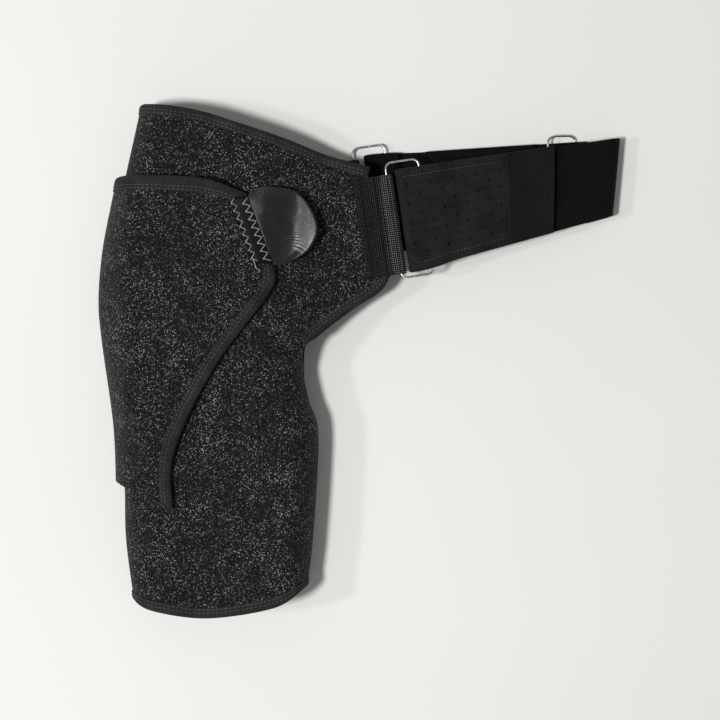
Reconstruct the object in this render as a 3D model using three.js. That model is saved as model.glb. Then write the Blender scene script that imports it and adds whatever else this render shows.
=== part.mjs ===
// A cold compression wrap for one shoulder, lying flat with its front up.
// Millimetres, +Z up. The arm sleeve runs along Y, the chest strap loop along +X, and the
// back rests on Z = 0. The origin is below the middle of the wrap.
import * as THREE from 'three';

// ---- driving dimensions ----
const GAP = 0.3;                 // clearance between two pieces that touch
const SEAM_GAP = 1.2;            // the sloping seam's gap, measured along Y
const NEOPRENE = 4;              // wall of the sleeve, shoulder and flap
const ELASTIC = 2.5;             // chest strap webbing
const WEBBING = 1.6;             // folded tape that holds each ring
const WIRE = 0.9;                // radius of the ring wire
const BINDING = 8;               // width of the hem along every raw edge
const BINDING_PROUD = 0.7;       // how far a hem stands above the neoprene
const MID_Z = 25;                // half the thickness of the lying sleeve, where front meets back
const SLEEVE_RISE = 27;          // from MID_Z to the top of the sleeve
const FOLD_R = 24;               // radius of the sleeve's side folds
const RING_TOP_Z = 34;           // top of the front wing where the ring is held
const BACK_LIFT = 3;             // the back wing's end rises by this to clear its webbing
const PACK_T = 5.5;              // cold gel pack
const STRAP_WIDTH = 82;          // perforated strap at the ring
const PACK_SWELL = 6.5;          // how far the gel pack lifts the flap
const FLAP_CLEAR = 3;            // from the front panel to the flap where they lie flat
const FLAP_TOP_HEM = 12;         // the flap's wide top hem
const FLAP_HEM = BINDING + 1.5;  // hem along the flap's free edge
const TAB_T = 3;                 // pull tab
const TAB_HOOK_T = 1.4;          // hook fastener under the tab
const TAB_CURL = 12;             // how far the tab's free end curls up off the front
const TAB_BAND = 13;             // strip that sews the tab to the flap
const TAB_BAND_T = 1.6;
const HOOK_T = 1.2;              // hook fastener under the strap's end
const SLACK = 0.4;               // extra room where soft layers lie on each other

// ---- outlines, seen from above ----
const OUTER_EDGE = [[-177, -186], [-183, -140], [-184, -100], [-186, -50], [-195, 15], [-197.5, 47],
  [-194.5, 85], [-187.5, 122], [-183, 145], [-177, 172], [-171, 199]];
const INNER_EDGE = [[-41, -176], [-37, -143], [-33, -85], [-33, -52], [-39, -34], [-44, -12], [-44, 6]];
const CUFF = [[-177, -186], [-163, -193], [-118, -199], [-66, -191], [-41, -176]];
const SEAM = [[-185, -104], [-150, -108], [-100, -74], [-62, -40], [-43, -14]];
const TOP_EDGE = [[-171, 199], [-128, 193], [-91, 182], [-54, 170], [-25, 159], [8, 150]];
const ARMPIT_FRONT = [[-43, -14], [-44, 6], [-37, 16], [-7, 39], [16, 54], [24, 68]];
const ARMPIT_BACK = [[-43, -14], [-44, 6], [-38, 22], [-24, 44], [-10, 66], [-3, 81]];
const TOP_EDGE_BACK = [[-171, 199], [-128, 193], [-91, 182], [-54, 170], [-15, 158]];
const FLAP_OUTER = [[-191, -94], [-193, -50], [-202, 15], [-204.5, 47], [-201.5, 85], [-194.5, 122],
  [-190, 142]];
const FLAP_FREE = [[-144, -114], [-145, -81], [-134, -47], [-111, -4], [-93, 21], [-75, 44], [-66, 58],
  [-67, 74], [-87, 128]];
const FLAP_TOP = [[-190, 142], [-143, 141], [-115, 138], [-87, 128]];
const FLAP_FOOT = [[-191, -94], [-165, -106], [-144, -114]];
const TAB_STITCH = [[-67, 74], [-86, 125]];
const TAB_END = [[-61, 73], [-47, 79], [-38, 87], [-33, 100], [-37, 115], [-48, 129], [-62, 133],
  [-80, 132]];

// ---- strap quad: the fold line at the ring and the far bend ----
const RING_LOW = new THREE.Vector2(38, 67);
const RING_HIGH = RING_LOW.clone().add(new THREE.Vector2(-12, STRAP_WIDTH));
const FAR_LOW = new THREE.Vector2(198, 112);
const FAR_HIGH = new THREE.Vector2(204, 176);
const REAR_SHIFT = new THREE.Vector2(-26, 14);
const LEG_FRONT_Z = RING_TOP_Z - NEOPRENE / 2;
const LEG_REAR_Z = BACK_LIFT + NEOPRENE / 2;
const PANEL_LEG = -6;            // ring leg inside the webbing, measured from the strap's fold
const STRAP_LEG = 20;            // ring leg between the strap's two layers
const SLIDER_LEFT = 121;         // slider legs, measured along the rear strap
const SLIDER_RIGHT = 139;

const smooth = THREE.MathUtils.smoothstep;
const mix = THREE.MathUtils.lerp;
const point = ([x, y]) => new THREE.Vector2(x, y);
const wrap = new THREE.Group();

// ---- materials ----
const fabric = (color, roughness) => new THREE.MeshStandardMaterial({ color, roughness, metalness: 0 });
const looks = {
  neoprene: fabric(0x1b1a1c, 0.95),
  binding: fabric(0x2a292c, 0.9),
  elastic: fabric(0x101012, 0.85),
  webbing: fabric(0x242427, 0.8),
  hook: fabric(0x0d0d0e, 0.5),
  tab: fabric(0x0a0a0b, 0.3),
  gel: fabric(0x2f6f9f, 0.4),
  tape: fabric(0x18181a, 0.7),
  wire: new THREE.MeshStandardMaterial({ color: 0x8c8f93, roughness: 0.3, metalness: 1 }),
};

// ---- curves ----
function curve(points) {
  const spline = new THREE.SplineCurve(points.map(point));
  return (t) => spline.getPointAt(Math.min(Math.max(t, 0), 1));
}

// x of an edge at height y, for an edge that never turns back in y
function edgeX(points) {
  const samples = new THREE.SplineCurve(points.map(point)).getPoints(60);
  return (y) => {
    if (y <= samples[0].y) return samples[0].x;
    const next = samples.findIndex((p) => p.y > y);
    if (next < 0) return samples[samples.length - 1].x;
    const a = samples[next - 1];
    const b = samples[next];
    return mix(a.x, b.x, (y - a.y) / (b.y - a.y));
  };
}

// the same edge moved sideways, to the left of its direction for a positive distance
function offset(points, distance) {
  return points.map(([x, y], i) => {
    const before = points[Math.max(i - 1, 0)];
    const after = points[Math.min(i + 1, points.length - 1)];
    const along = new THREE.Vector2(after[0] - before[0], after[1] - before[1]).normalize();
    return [x - along.y * distance, y + along.x * distance];
  });
}

// an edge made of two runs that meet in a corner at t = corner
function joined(first, second, corner) {
  return (t) => (t < corner ? first(t / corner) : second((t - corner) / (1 - corner)));
}

// a four-sided patch between its edge curves: u runs left to right, v bottom to top
function patch({ left, right, bottom, top }) {
  return (u, v) => {
    const across = bottom(u).multiplyScalar(1 - v).add(top(u).multiplyScalar(v));
    const upward = left(v).multiplyScalar(1 - u).add(right(v).multiplyScalar(u));
    const low = bottom(0).multiplyScalar(1 - u).add(bottom(1).multiplyScalar(u));
    const high = top(0).multiplyScalar(1 - u).add(top(1).multiplyScalar(u));
    return across.add(upward).sub(low.multiplyScalar(1 - v)).sub(high.multiplyScalar(v));
  };
}

// a strip of the given width along an edge, inward to the left of the edge's direction
function strip(points, width) {
  const edge = curve(points);
  const inner = curve(offset(points, width));
  return (u, v) => edge(u).lerp(inner(u), v);
}

// ---- the lying wrap's height ----
const outerX = edgeX(OUTER_EDGE);
const innerX = edgeX(INNER_EDGE);
const flapOuterX = edgeX(FLAP_OUTER);
const flapFreeX = edgeX(FLAP_FREE);

// 0 at a side fold, rising on a quarter circle to 1
function fold(distance, radius) {
  const left = 1 - Math.min(Math.max(distance / radius, 0), 1);
  return Math.sqrt(1 - left * left);
}

// past the armpit the wrap is open on that side, so the fold fades out
function closeness(x, y) {
  const armpitOpen = smooth(y, -14, 18);
  const inner = mix(fold(innerX(y) - x, FOLD_R), 1, armpitOpen);
  return fold(x - outerX(y), FOLD_R) * inner;
}

// the front wing comes down from the shoulder to the ring
function frontRise(x, y) {
  const wing = smooth(x, -92, -12) * smooth(y, -20, 48);
  return mix(SLEEVE_RISE, RING_TOP_Z - MID_Z, wing);
}

const frontZ = (x, y) => MID_Z + frontRise(x, y) * closeness(x, y);
const wingLift = (x, y) => BACK_LIFT * smooth(x, -80, -38) * smooth(y, 4, 50);
const backZ = (x, y) => MID_Z * (1 - closeness(x, y)) + wingLift(x, y);

// the flap lies over the front with the gel pack between them
function packLift(x, y) {
  const fromFold = smooth(x, -199, -178);
  const fromFree = smooth((flapFreeX(y) - x) * 0.8, 0, 22);
  const fromFoot = smooth(y, -88, -60);
  return PACK_SWELL * fromFold * fromFree * fromFoot;
}

function flapZ(x, y) {
  const spread = FLAP_CLEAR + NEOPRENE;
  const rise = frontRise(x, y) + spread + packLift(x, y);
  return MID_Z + rise * fold(x - flapOuterX(y), FOLD_R + spread);
}

// ---- solids ----
function solid(vertices, quads, triangles = []) {
  const flat = vertices.flatMap((p) => [p.x, p.y, p.z]);
  const index = quads.flatMap(([a, b, c, d]) => [a, b, c, a, c, d]).concat(triangles.flat());
  let volume = 0;
  for (let i = 0; i < index.length; i += 3) {
    const [a, b, c] = [0, 1, 2].map((k) => vertices[index[i + k]]);
    volume += a.dot(new THREE.Vector3().crossVectors(b, c));
  }
  if (volume < 0) index.reverse();
  const geometry = new THREE.BufferGeometry();
  geometry.setAttribute('position', new THREE.Float32BufferAttribute(flat, 3));
  geometry.setIndex(index);
  return geometry;
}

// a closed sheet: outer and inner grids over (us, vs), joined along its edges.
// `place(u, v)` gives { outer, inner }; a ring-shaped sheet closes on itself along u.
function sheetSolid(place, us, vs, ring = false) {
  const columns = us.length;
  const rows = vs.length;
  const vertices = [];
  for (const v of vs) for (const u of us) vertices.push(place(u, v).outer);
  for (const v of vs) for (const u of us) vertices.push(place(u, v).inner);
  const at = (i, j, inner) => (inner ? rows * columns : 0) + j * columns + (i % columns);
  const quads = [];
  const lastColumn = ring ? columns : columns - 1;
  for (let j = 0; j < rows - 1; j += 1) {
    for (let i = 0; i < lastColumn; i += 1) {
      quads.push([at(i, j, 0), at(i + 1, j, 0), at(i + 1, j + 1, 0), at(i, j + 1, 0)]);
      quads.push([at(i, j, 1), at(i, j + 1, 1), at(i + 1, j + 1, 1), at(i + 1, j, 1)]);
    }
    if (!ring) {
      quads.push([at(0, j, 0), at(0, j + 1, 0), at(0, j + 1, 1), at(0, j, 1)]);
      quads.push([at(columns - 1, j, 0), at(columns - 1, j, 1),
        at(columns - 1, j + 1, 1), at(columns - 1, j + 1, 0)]);
    }
  }
  for (let i = 0; i < lastColumn; i += 1) {
    quads.push([at(i, 0, 0), at(i, 0, 1), at(i + 1, 0, 1), at(i + 1, 0, 0)]);
    quads.push([at(i, rows - 1, 0), at(i + 1, rows - 1, 0), at(i + 1, rows - 1, 1), at(i, rows - 1, 1)]);
  }
  return solid(vertices, quads);
}

// a panel on a height surface: `above` and `below` are measured along the surface's normal,
// and `side` is 1 where the outer face looks up and -1 where it looks down
function onSurface(plan, height, { above = 0, below = NEOPRENE, side = 1 }) {
  const lift = (u, v) => {
    const p = plan(u, v);
    return new THREE.Vector3(p.x, p.y, height(p.x, p.y));
  };
  const step = 1e-4;
  return (u, v) => {
    const here = lift(u, v);
    const du = u < 0.5 ? lift(u + step, v).sub(here) : here.clone().sub(lift(u - step, v));
    const dv = v < 0.5 ? lift(u, v + step).sub(here) : here.clone().sub(lift(u, v - step));
    const normal = du.cross(dv).normalize();
    if (normal.z * side < 0) normal.negate();
    return {
      outer: here.clone().addScaledVector(normal, above),
      inner: here.clone().addScaledVector(normal, -below),
    };
  };
}

const even = (count) => Array.from({ length: count + 1 }, (_, i) => i / count);

// samples across a panel, close together round each side fold
function acrossFolds(width, leftFold, rightFold, middle) {
  const steps = 5;
  const arc = (i) => (FOLD_R + 2) * (1 - Math.cos((i / steps) * Math.PI / 2)) / width;
  const start = leftFold ? Array.from({ length: steps + 1 }, (_, i) => arc(i)) : [0];
  const end = rightFold ? Array.from({ length: steps + 1 }, (_, i) => 1 - arc(steps - i)) : [1];
  const from = start[start.length - 1];
  const inner = even(middle).slice(1, -1).map((t) => mix(from, end[0], t));
  return [...start, ...inner, ...end];
}

function add(name, geometry, look) {
  const mesh = new THREE.Mesh(geometry, look);
  mesh.name = name;
  wrap.add(mesh);
}

// ---- sleeve and shoulder panels ----
// edges of the panels, inside their hems
const HEM_GAP = 1.4;
const HEM = BINDING + HEM_GAP;
function edgeBetween(points, low, high) {
  const x = edgeX(points);
  return (t) => {
    const y = mix(low, high, t);
    return new THREE.Vector2(x(y), y);
  };
}

// the cuff's edge moved up the sleeve, with its ends kept on the side folds
function cuffInset(distance) {
  const points = offset(CUFF, distance);
  const last = points[points.length - 1];
  points[0][0] = outerX(points[0][1]);
  last[0] = innerX(last[1]);
  return points;
}

function sleevePlan() {
  const foot = cuffInset(HEM);
  const left = edgeBetween(OUTER_EDGE, foot[0][1], SEAM[0][1] - SEAM_GAP);
  const right = edgeBetween(INNER_EDGE, foot[foot.length - 1][1], SEAM[SEAM.length - 1][1] - SEAM_GAP);
  const seam = SEAM.map(([x, y]) => [x, y - SEAM_GAP]);
  seam[0][0] = left(1).x;
  seam[seam.length - 1][0] = right(1).x;
  return patch({ left, right, bottom: curve(foot), top: curve(seam) });
}

// the armpit edge moved inward; its first two points stay on the closed arm seam
function armpitInset(armpit, distance) {
  const points = offset(armpit, distance);
  for (const i of [0, 1]) points[i] = [innerX(armpit[i][1]), armpit[i][1]];
  return points;
}

// the hem narrows to nothing where the armpit edge runs into the arm seam
function armpitHem(armpit) {
  const edge = curve(armpit);
  const inner = curve(armpitInset(armpit, BINDING));
  return (u, v) => {
    const t = mix(0.3, 1, u);
    return edge(t).lerp(inner(t), v);
  };
}

function shoulderPlan(topEdge, armpit) {
  const top = offset(topEdge, -HEM);
  const low = armpitInset(armpit, HEM);
  const left = edgeBetween(OUTER_EDGE, SEAM[0][1], top[0][1]);
  const seam = SEAM.map((p) => [...p]);
  seam[0][0] = left(0).x;
  seam[seam.length - 1][0] = low[0][0];
  top[0][0] = left(1).x;
  const end = curve([low[low.length - 1], top[top.length - 1]]);
  return patch({ left, right: joined(curve(low), end, 0.5), bottom: curve(seam), top: curve(top) });
}

function addPanels() {
  const across = acrossFolds(165, true, true, 5);
  const sides = [
    { name: 'front', height: (x, y) => frontZ(x, y) + GAP / 2, side: 1,
      topEdge: TOP_EDGE, armpit: ARMPIT_FRONT },
    { name: 'back', height: (x, y) => backZ(x, y) - (GAP / 2) * (1 - closeness(x, y)), side: -1,
      topEdge: TOP_EDGE_BACK, armpit: ARMPIT_BACK },
  ];
  for (const { name, height, side, topEdge, armpit } of sides) {
    const wall = { below: NEOPRENE, side };
    const hem = { above: side > 0 ? BINDING_PROUD : 0, below: NEOPRENE + BINDING_PROUD, side };
    const sleeve = onSurface(sleevePlan(), height, wall);
    add(`sleeve_${name}`, sheetSolid(sleeve, across, even(6)), looks.neoprene);
    const shoulder = onSurface(shoulderPlan(topEdge, armpit), height, wall);
    add(`shoulder_${name}`, sheetSolid(shoulder, across, even(20)), looks.neoprene);
    const topHem = onSurface(strip([...topEdge].reverse(), BINDING), height, hem);
    const acrossHem = acrossFolds(200, false, true, 9);
    add(`top_edge_binding_${name}`, sheetSolid(topHem, acrossHem, even(1)), looks.binding);
    const lowHem = onSurface(armpitHem(armpit), height, hem);
    add(`armpit_binding_${name}`, sheetSolid(lowHem, even(14), even(1)), looks.binding);
  }
}

// the hem round the arm hole is one closed band: over the front, then back under the arm
const cuffLow = curve(cuffInset(0));
const cuffHigh = curve(cuffInset(BINDING));
function cuffPlace(u, v) {
  const over = u < 0.5;
  const t = over ? u * 2 : 2 - u * 2;
  const height = over ? frontZ : backZ;
  const plan = (a, b) => cuffLow(a).lerp(cuffHigh(a), b);
  const proud = over ? BINDING_PROUD : 0;
  const layer = { above: proud, below: NEOPRENE + BINDING_PROUD, side: over ? 1 : -1 };
  const place = onSurface(plan, height, layer);
  return place(Math.min(Math.max(t, 0), 1), v);
}

function addCuffBinding() {
  const half = acrossFolds(160, true, true, 6).map((u) => u / 2);
  const around = [...half, ...half.slice(1, -1).map((u) => 1 - u).reverse()];
  add('cuff_binding', sheetSolid(cuffPlace, around, even(1), true), looks.binding);
}

// tape glued over the seam inside each side fold
const TAPE_CLEAR = 2;
const TAPE_T = 0.8;
const TAPE_SPREAD = THREE.MathUtils.degToRad(22);
function seamTape(edge, side, low, high, radius) {
  return sheetSolid((u, v) => {
    const y = mix(low, high, v);
    const angle = mix(-TAPE_SPREAD, TAPE_SPREAD, u);
    const onArc = (r) => {
      const x = edge(y) - side * (FOLD_R - r * Math.cos(angle));
      return new THREE.Vector3(x, y, MID_Z + r * Math.sin(angle));
    };
    return { outer: onArc(radius), inner: onArc(radius - TAPE_T) };
  }, even(4), even(10));
}

function addSeamTapes() {
  const inside = FOLD_R - NEOPRENE - TAPE_CLEAR;
  add('arm_seam_tape', seamTape(innerX, 1, -160, -20, inside), looks.tape);
  add('outer_seam_tape', seamTape(outerX, -1, -165, 185, inside), looks.tape);
}

// ---- flap and pull tab ----
const FLAP_CORNER = 6;           // the outline point where the free edge turns up to the tab
const flapPlan = patch({
  left: curve(FLAP_OUTER), bottom: curve(FLAP_FOOT), top: curve(FLAP_TOP),
  right: joined(curve(FLAP_FREE.slice(0, FLAP_CORNER + 1)), curve(FLAP_FREE.slice(FLAP_CORNER)), 0.72),
});

// part of the flap between distances in millimetres from its left and top edges' far sides
function flapPart(across, upward) {
  return (s, t) => {
    const height = flapPlan(0.5, 0).distanceTo(flapPlan(0.5, 1));
    const [low, high] = upward(height);
    const v = mix(low, high, t) / height;
    const width = flapPlan(0, v).distanceTo(flapPlan(1, v));
    const [from, to] = across(width);
    return flapPlan(mix(from, to, s) / width, v);
  };
}

function addFlap() {
  const wall = { below: NEOPRENE, side: 1 };
  const hem = { above: BINDING_PROUD, below: NEOPRENE, side: 1 };
  const bodyRows = (h) => [0, h - FLAP_TOP_HEM - HEM_GAP];
  const body = flapPart((w) => [0, w - FLAP_HEM - HEM_GAP], bodyRows);
  const columns = acrossFolds(110, true, false, 6);
  add('flap_panel', sheetSolid(onSurface(body, flapZ, wall), columns, even(12)), looks.neoprene);
  const free = flapPart((w) => [w - FLAP_HEM, w], bodyRows);
  add('flap_edge_binding', sheetSolid(onSurface(free, flapZ, hem), even(1), even(16)), looks.binding);
  const top = flapPart((w) => [0, w], (h) => [h - FLAP_TOP_HEM, h]);
  add('flap_top_binding', sheetSolid(onSurface(top, flapZ, hem), columns, even(1)), looks.binding);
}

const STITCH_LOW = point(TAB_STITCH[0]);
const STITCH_HIGH = point(TAB_STITCH[1]);
const TAB_START = 1.4;           // the tab begins this far past the line that sews it

// the tab starts on the flap and comes down toward the front panel, then its round end curls up
function tabZ(x, y) {
  const onFlap = FLAP_CLEAR + NEOPRENE + BINDING_PROUD + GAP + TAB_T + 1.4;
  const onFront = TAB_T + TAB_HOOK_T + 2.2;
  const curl = TAB_CURL * smooth(x, -62, -31);
  return frontZ(x, y) + mix(onFlap, onFront, smooth(x, -76, -44)) + curl;
}

function addTab() {
  const toward = new THREE.Vector2(1, 0.35).normalize();
  const start = (t) => STITCH_LOW.clone().lerp(STITCH_HIGH, t).addScaledVector(toward, TAB_START);
  const round = curve([[start(0).x, start(0).y], ...TAB_END, [start(1).x, start(1).y]]);
  const plan = (u, v) => start(v).lerp(round(v), u);
  add('pull_tab', sheetSolid(onSurface(plan, tabZ, { below: TAB_T }), even(5), even(18)), looks.tab);
  const hookPlan = (u, v) => plan(mix(0.4, 0.9, u), mix(0.15, 0.85, v));
  const under = { above: -TAB_T - 4 * GAP, below: TAB_T + 4 * GAP + TAB_HOOK_T };
  add('tab_hook_patch', sheetSolid(onSurface(hookPlan, tabZ, under), even(5), even(18)), looks.hook);
}

function addTabBase() {
  const low = STITCH_LOW.clone();
  const plan = (u, v) => low.clone().lerp(STITCH_HIGH, v).add(new THREE.Vector2(-TAB_BAND * (1 - u), 0));
  const height = (x, y) => flapZ(x, y) + BINDING_PROUD + 3 * GAP;
  const strip = onSurface(plan, height, { above: TAB_BAND_T, below: 0 });
  add('tab_base_strip', sheetSolid(strip, even(3), even(8)), looks.tab);
}

// ---- cold gel pack in the pocket under the flap ----
function addGelPack() {
  const plan = patch({
    left: curve([[-161, -24], [-163, 112]]),
    right: curve([[-145, -28], [-134, -8], [-113, 24], [-108, 108]]),
    bottom: curve([[-161, -24], [-145, -28]]),
    top: curve([[-163, 112], [-108, 108]]),
  });
  const bottom = MID_Z + SLEEVE_RISE + BINDING_PROUD + GAP + SLACK;
  const pouch = onSurface(plan, () => bottom + PACK_T, { below: PACK_T });
  add('gel_pack', sheetSolid(pouch, even(4), even(6)), looks.gel);
}

// ---- chest strap, its rings and the webbing that holds them ----
// a point of the strap: s along it from the ring's fold line, k across it from 0 to 1
const STRAP_LENGTH = RING_LOW.distanceTo(FAR_LOW);
function strapPoint(s, k, z, shift) {
  const f = s / STRAP_LENGTH;
  const low = RING_LOW.clone().add(shift).lerp(FAR_LOW, f);
  const high = RING_HIGH.clone().add(shift).lerp(FAR_HIGH, f);
  const p = low.lerp(high, k);
  return new THREE.Vector3(p.x, p.y, z);
}

// near the ring everything is square to the ring's legs
const LEG_DIRECTION = RING_HIGH.clone().sub(RING_LOW).normalize();
const ACROSS_LEGS = new THREE.Vector2(LEG_DIRECTION.y, -LEG_DIRECTION.x);
function ringPoint(s, k, z, shift) {
  const onLeg = RING_LOW.clone().lerp(RING_HIGH, k).add(shift);
  const p = onLeg.addScaledVector(ACROSS_LEGS, s);
  return new THREE.Vector3(p.x, p.y, z);
}

// a band of the given thickness whose path is seen from its edge, in (s, z)
function ribbonShape(path, thickness) {
  const sides = [1, -1].map((side) => path.map((p, i) => {
    const before = path[Math.max(i - 1, 0)];
    const after = path[Math.min(i + 1, path.length - 1)];
    const along = after.clone().sub(before).normalize();
    return new THREE.Vector2(p.x - along.y * side * thickness / 2, p.y + along.x * side * thickness / 2);
  }));
  return new THREE.Shape([...sides[0], ...sides[1].reverse()]);
}

function band(path, thickness, place, k0 = 0, k1 = 1) {
  const across = { depth: 1, steps: 1, bevelEnabled: false };
  const flat = new THREE.ExtrudeGeometry(ribbonShape(path, thickness), across);
  const position = flat.getAttribute('position');
  const vertices = Array.from({ length: position.count }, (_, i) => (
    place(position.getX(i), mix(k0, k1, position.getZ(i)), position.getY(i))));
  const triangles = Array.from({ length: position.count / 3 }, (_, i) => [3 * i, 3 * i + 1, 3 * i + 2]);
  return solid(vertices, [], triangles);
}

const at = (s, z) => new THREE.Vector2(s, z);
// half a turn round (s, z), from above it to below it, on its left for side -1 and right for 1
function halfTurn(s, z, radius, side, steps = 6) {
  return Array.from({ length: steps + 1 }, (_, i) => {
    const angle = (i / steps) * Math.PI;
    return at(s + side * radius * Math.sin(angle), z + radius * Math.cos(angle));
  });
}

// wire bent into a rectangle with round corners, lying at height z(s)
function wireRing(from, to, overhang, z, place) {
  const corner = 5;
  const width = to - from;
  const length = STRAP_WIDTH + overhang.low + overhang.high;
  const outline = new THREE.Path();
  outline.moveTo(corner, 0).lineTo(width - corner, 0);
  outline.absarc(width - corner, corner, corner, -Math.PI / 2, 0);
  outline.lineTo(width, length - corner);
  outline.absarc(width - corner, length - corner, corner, 0, Math.PI / 2);
  outline.lineTo(corner, length);
  outline.absarc(corner, length - corner, corner, Math.PI / 2, Math.PI);
  outline.lineTo(0, corner);
  outline.absarc(corner, corner, corner, Math.PI, Math.PI * 1.5);
  const centre = outline.getPoints(3).map((p) => {
    const s = from + p.x;
    return place(s, (p.y - overhang.low) / STRAP_WIDTH, z(s));
  }).filter((p, i, all) => p.distanceTo(all[(i + all.length - 1) % all.length]) > 0.01);
  const sides = 8;
  const vertices = centre.flatMap((p, i) => {
    const before = centre[(i + centre.length - 1) % centre.length];
    const after = centre[(i + 1) % centre.length];
    const along = after.clone().sub(before).normalize();
    const out = new THREE.Vector3().crossVectors(along, new THREE.Vector3(0, 0, 1)).normalize();
    const up = new THREE.Vector3().crossVectors(out, along);
    return Array.from({ length: sides }, (_, k) => {
      const angle = (k / sides) * Math.PI * 2;
      const sideways = out.clone().multiplyScalar(WIRE * Math.cos(angle));
      return p.clone().add(sideways).addScaledVector(up, WIRE * Math.sin(angle));
    });
  });
  const quads = centre.flatMap((_, i) => Array.from({ length: sides }, (__, k) => {
    const next = ((i + 1) % centre.length) * sides;
    return [i * sides + k, next + k, next + (k + 1) % sides, i * sides + (k + 1) % sides];
  }));
  return solid(vertices, quads);
}

const NO_SHIFT = new THREE.Vector2(0, 0);
const WEBBING_R = NEOPRENE / 2 + BINDING_PROUD + GAP + WEBBING / 2;
const TONGUE = 33;
const RING_OVERHANG = { low: 2.4, high: 5 };

// tape folded round the panel's leg of a ring, with the panel's end between its two layers
function webbingAnchor(legZ, shift) {
  const path = [at(-TONGUE, legZ + WEBBING_R), ...halfTurn(PANEL_LEG, legZ, WEBBING_R, 1),
    at(-TONGUE, legZ - WEBBING_R)];
  return band(path, WEBBING, (s, k, z) => ringPoint(s, k, z, shift), 0.01, 0.95);
}

// ---- chest strap ----
const FOLD_FRONT_R = NEOPRENE / 2 + WIRE + GAP;
const TURN = 6;                  // centre of the strap's turn, with slack left of the ring's leg
const HOOK_START = 83;           // the perforated part ends and the hook end begins
const FRONT_END = 118;           // free end of the hook end
const UNDER_END = 40;            // the perforated part is sewn to the elastic below it
const BEND = 157.4;              // centre of the far bend
const FRONT_FLAT_END = 150;      // the elastic reaches the bend and comes back to here on the floor side
const BEND_END = 147;
const REAR_START = 146;          // the rear elastic starts just short of the front one's end
const STRAP_DROP = 9;            // the far bend lies lower than the ring
const SETTLE = 1.7;              // the top layer comes down onto the one below it
const REAR_RUN_Z = 4;            // the rear strap's run between the bend and the ring
const BOTTOM_Z = ELASTIC / 2 + 0.2;
const UNDER_Z = LEG_FRONT_Z - FOLD_FRONT_R;
const frontDrop = (s) => STRAP_DROP * smooth(s, STRAP_LEG + 4, 155);

function strapPlace(shift, drop) {
  return (s, k, z) => {
    const square = ringPoint(s, k, z, shift);
    const p = square.lerp(strapPoint(s, k, z, shift), smooth(s, 0, 40));
    p.z = z - drop(s);
    return p;
  };
}

// the front strap: round the ring, back over itself, and down to the far bend
const frontPlace = strapPlace(NO_SHIFT, frontDrop);
function addFrontStrap() {
  const topZ = (s) => LEG_FRONT_Z + FOLD_FRONT_R - SETTLE * smooth(s, STRAP_LEG + 4, 50);
  const stations = (from, to, z) => even(6).map((t) => at(mix(from, to, t), z(mix(from, to, t))));
  const turn = halfTurn(TURN, LEG_FRONT_Z, FOLD_FRONT_R, -1);
  const under = [at(20, UNDER_Z), at(UNDER_END, UNDER_Z)];
  const perforated = [...stations(HOOK_START, TURN + 1, topZ), ...turn, ...under];
  add('perforated_strap', band(perforated, NEOPRENE, frontPlace, 0.01, 0.99), looks.neoprene);
  const hookEnd = stations(HOOK_START + GAP, FRONT_END, topZ);
  add('strap_hook_end', band(hookEnd, NEOPRENE, frontPlace, 0.01, 0.99), looks.neoprene);
  const patchZ = (s) => topZ(s) - NEOPRENE / 2 - GAP - HOOK_T / 2;
  const patchPath = stations(HOOK_START + 1, FRONT_END - 2, patchZ);
  add('strap_hook_patch', band(patchPath, HOOK_T, frontPlace, 0.06, 0.94), looks.hook);
}

// elastic from under the perforated part to the far bend, round it and onto the floor
function addFrontElastic() {
  const top = UNDER_Z - SLACK;
  const bendTop = top - STRAP_DROP;
  const radius = (bendTop - BOTTOM_Z) / 2;
  const lying = (p) => at(p.x, p.y + frontDrop(p.x));
  const start = even(6).map((t) => at(mix(UNDER_END + GAP, FRONT_FLAT_END, t), top));
  const bend = [...halfTurn(BEND, BOTTOM_Z + radius, radius, 1, 10), at(FRONT_FLAT_END, REAR_RUN_Z),
    at(BEND_END, REAR_RUN_Z)];
  const path = [...start, ...bend.map(lying)];
  add('front_elastic', band(path, ELASTIC, frontPlace, 0.02, 0.98), looks.elastic);
}

// the rear strap: from the far bend along the floor, round the rear ring and back to the slider
const REAR_FOLD_R = WIRE + GAP + ELASTIC / 2;
const INNER_END = 26;            // the rear elastic's end, past the rear ring
const SLIDE_LEFT = 16;           // the inner strap can run this far toward the ring
const LOOP_T = 1.1;              // thin loop that holds the slider
const rearPlace = strapPlace(REAR_SHIFT, () => 0);
const INNER_Z = REAR_RUN_Z + ELASTIC + GAP + SLACK;
const SLIDER_LEG_Z = INNER_Z + 1.6;
function addRearStrap() {
  const turn = halfTurn(TURN, LEG_REAR_Z, REAR_FOLD_R, -1).reverse();
  const outer = [at(REAR_START, REAR_RUN_Z), at(60, REAR_RUN_Z), at(30, BOTTOM_Z + SLACK), ...turn,
    at(INNER_END, LEG_REAR_Z + REAR_FOLD_R)];
  add('rear_elastic', band(outer, ELASTIC, rearPlace, 0.02, 0.98), looks.elastic);
  const inner = [at(INNER_END + SLIDE_LEFT, INNER_Z), at(60, INNER_Z), at(SLIDER_LEFT - 8, INNER_Z)];
  add('rear_inner_strap', band(inner, ELASTIC, rearPlace, 0.02, 0.98), looks.neoprene);
}

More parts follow.
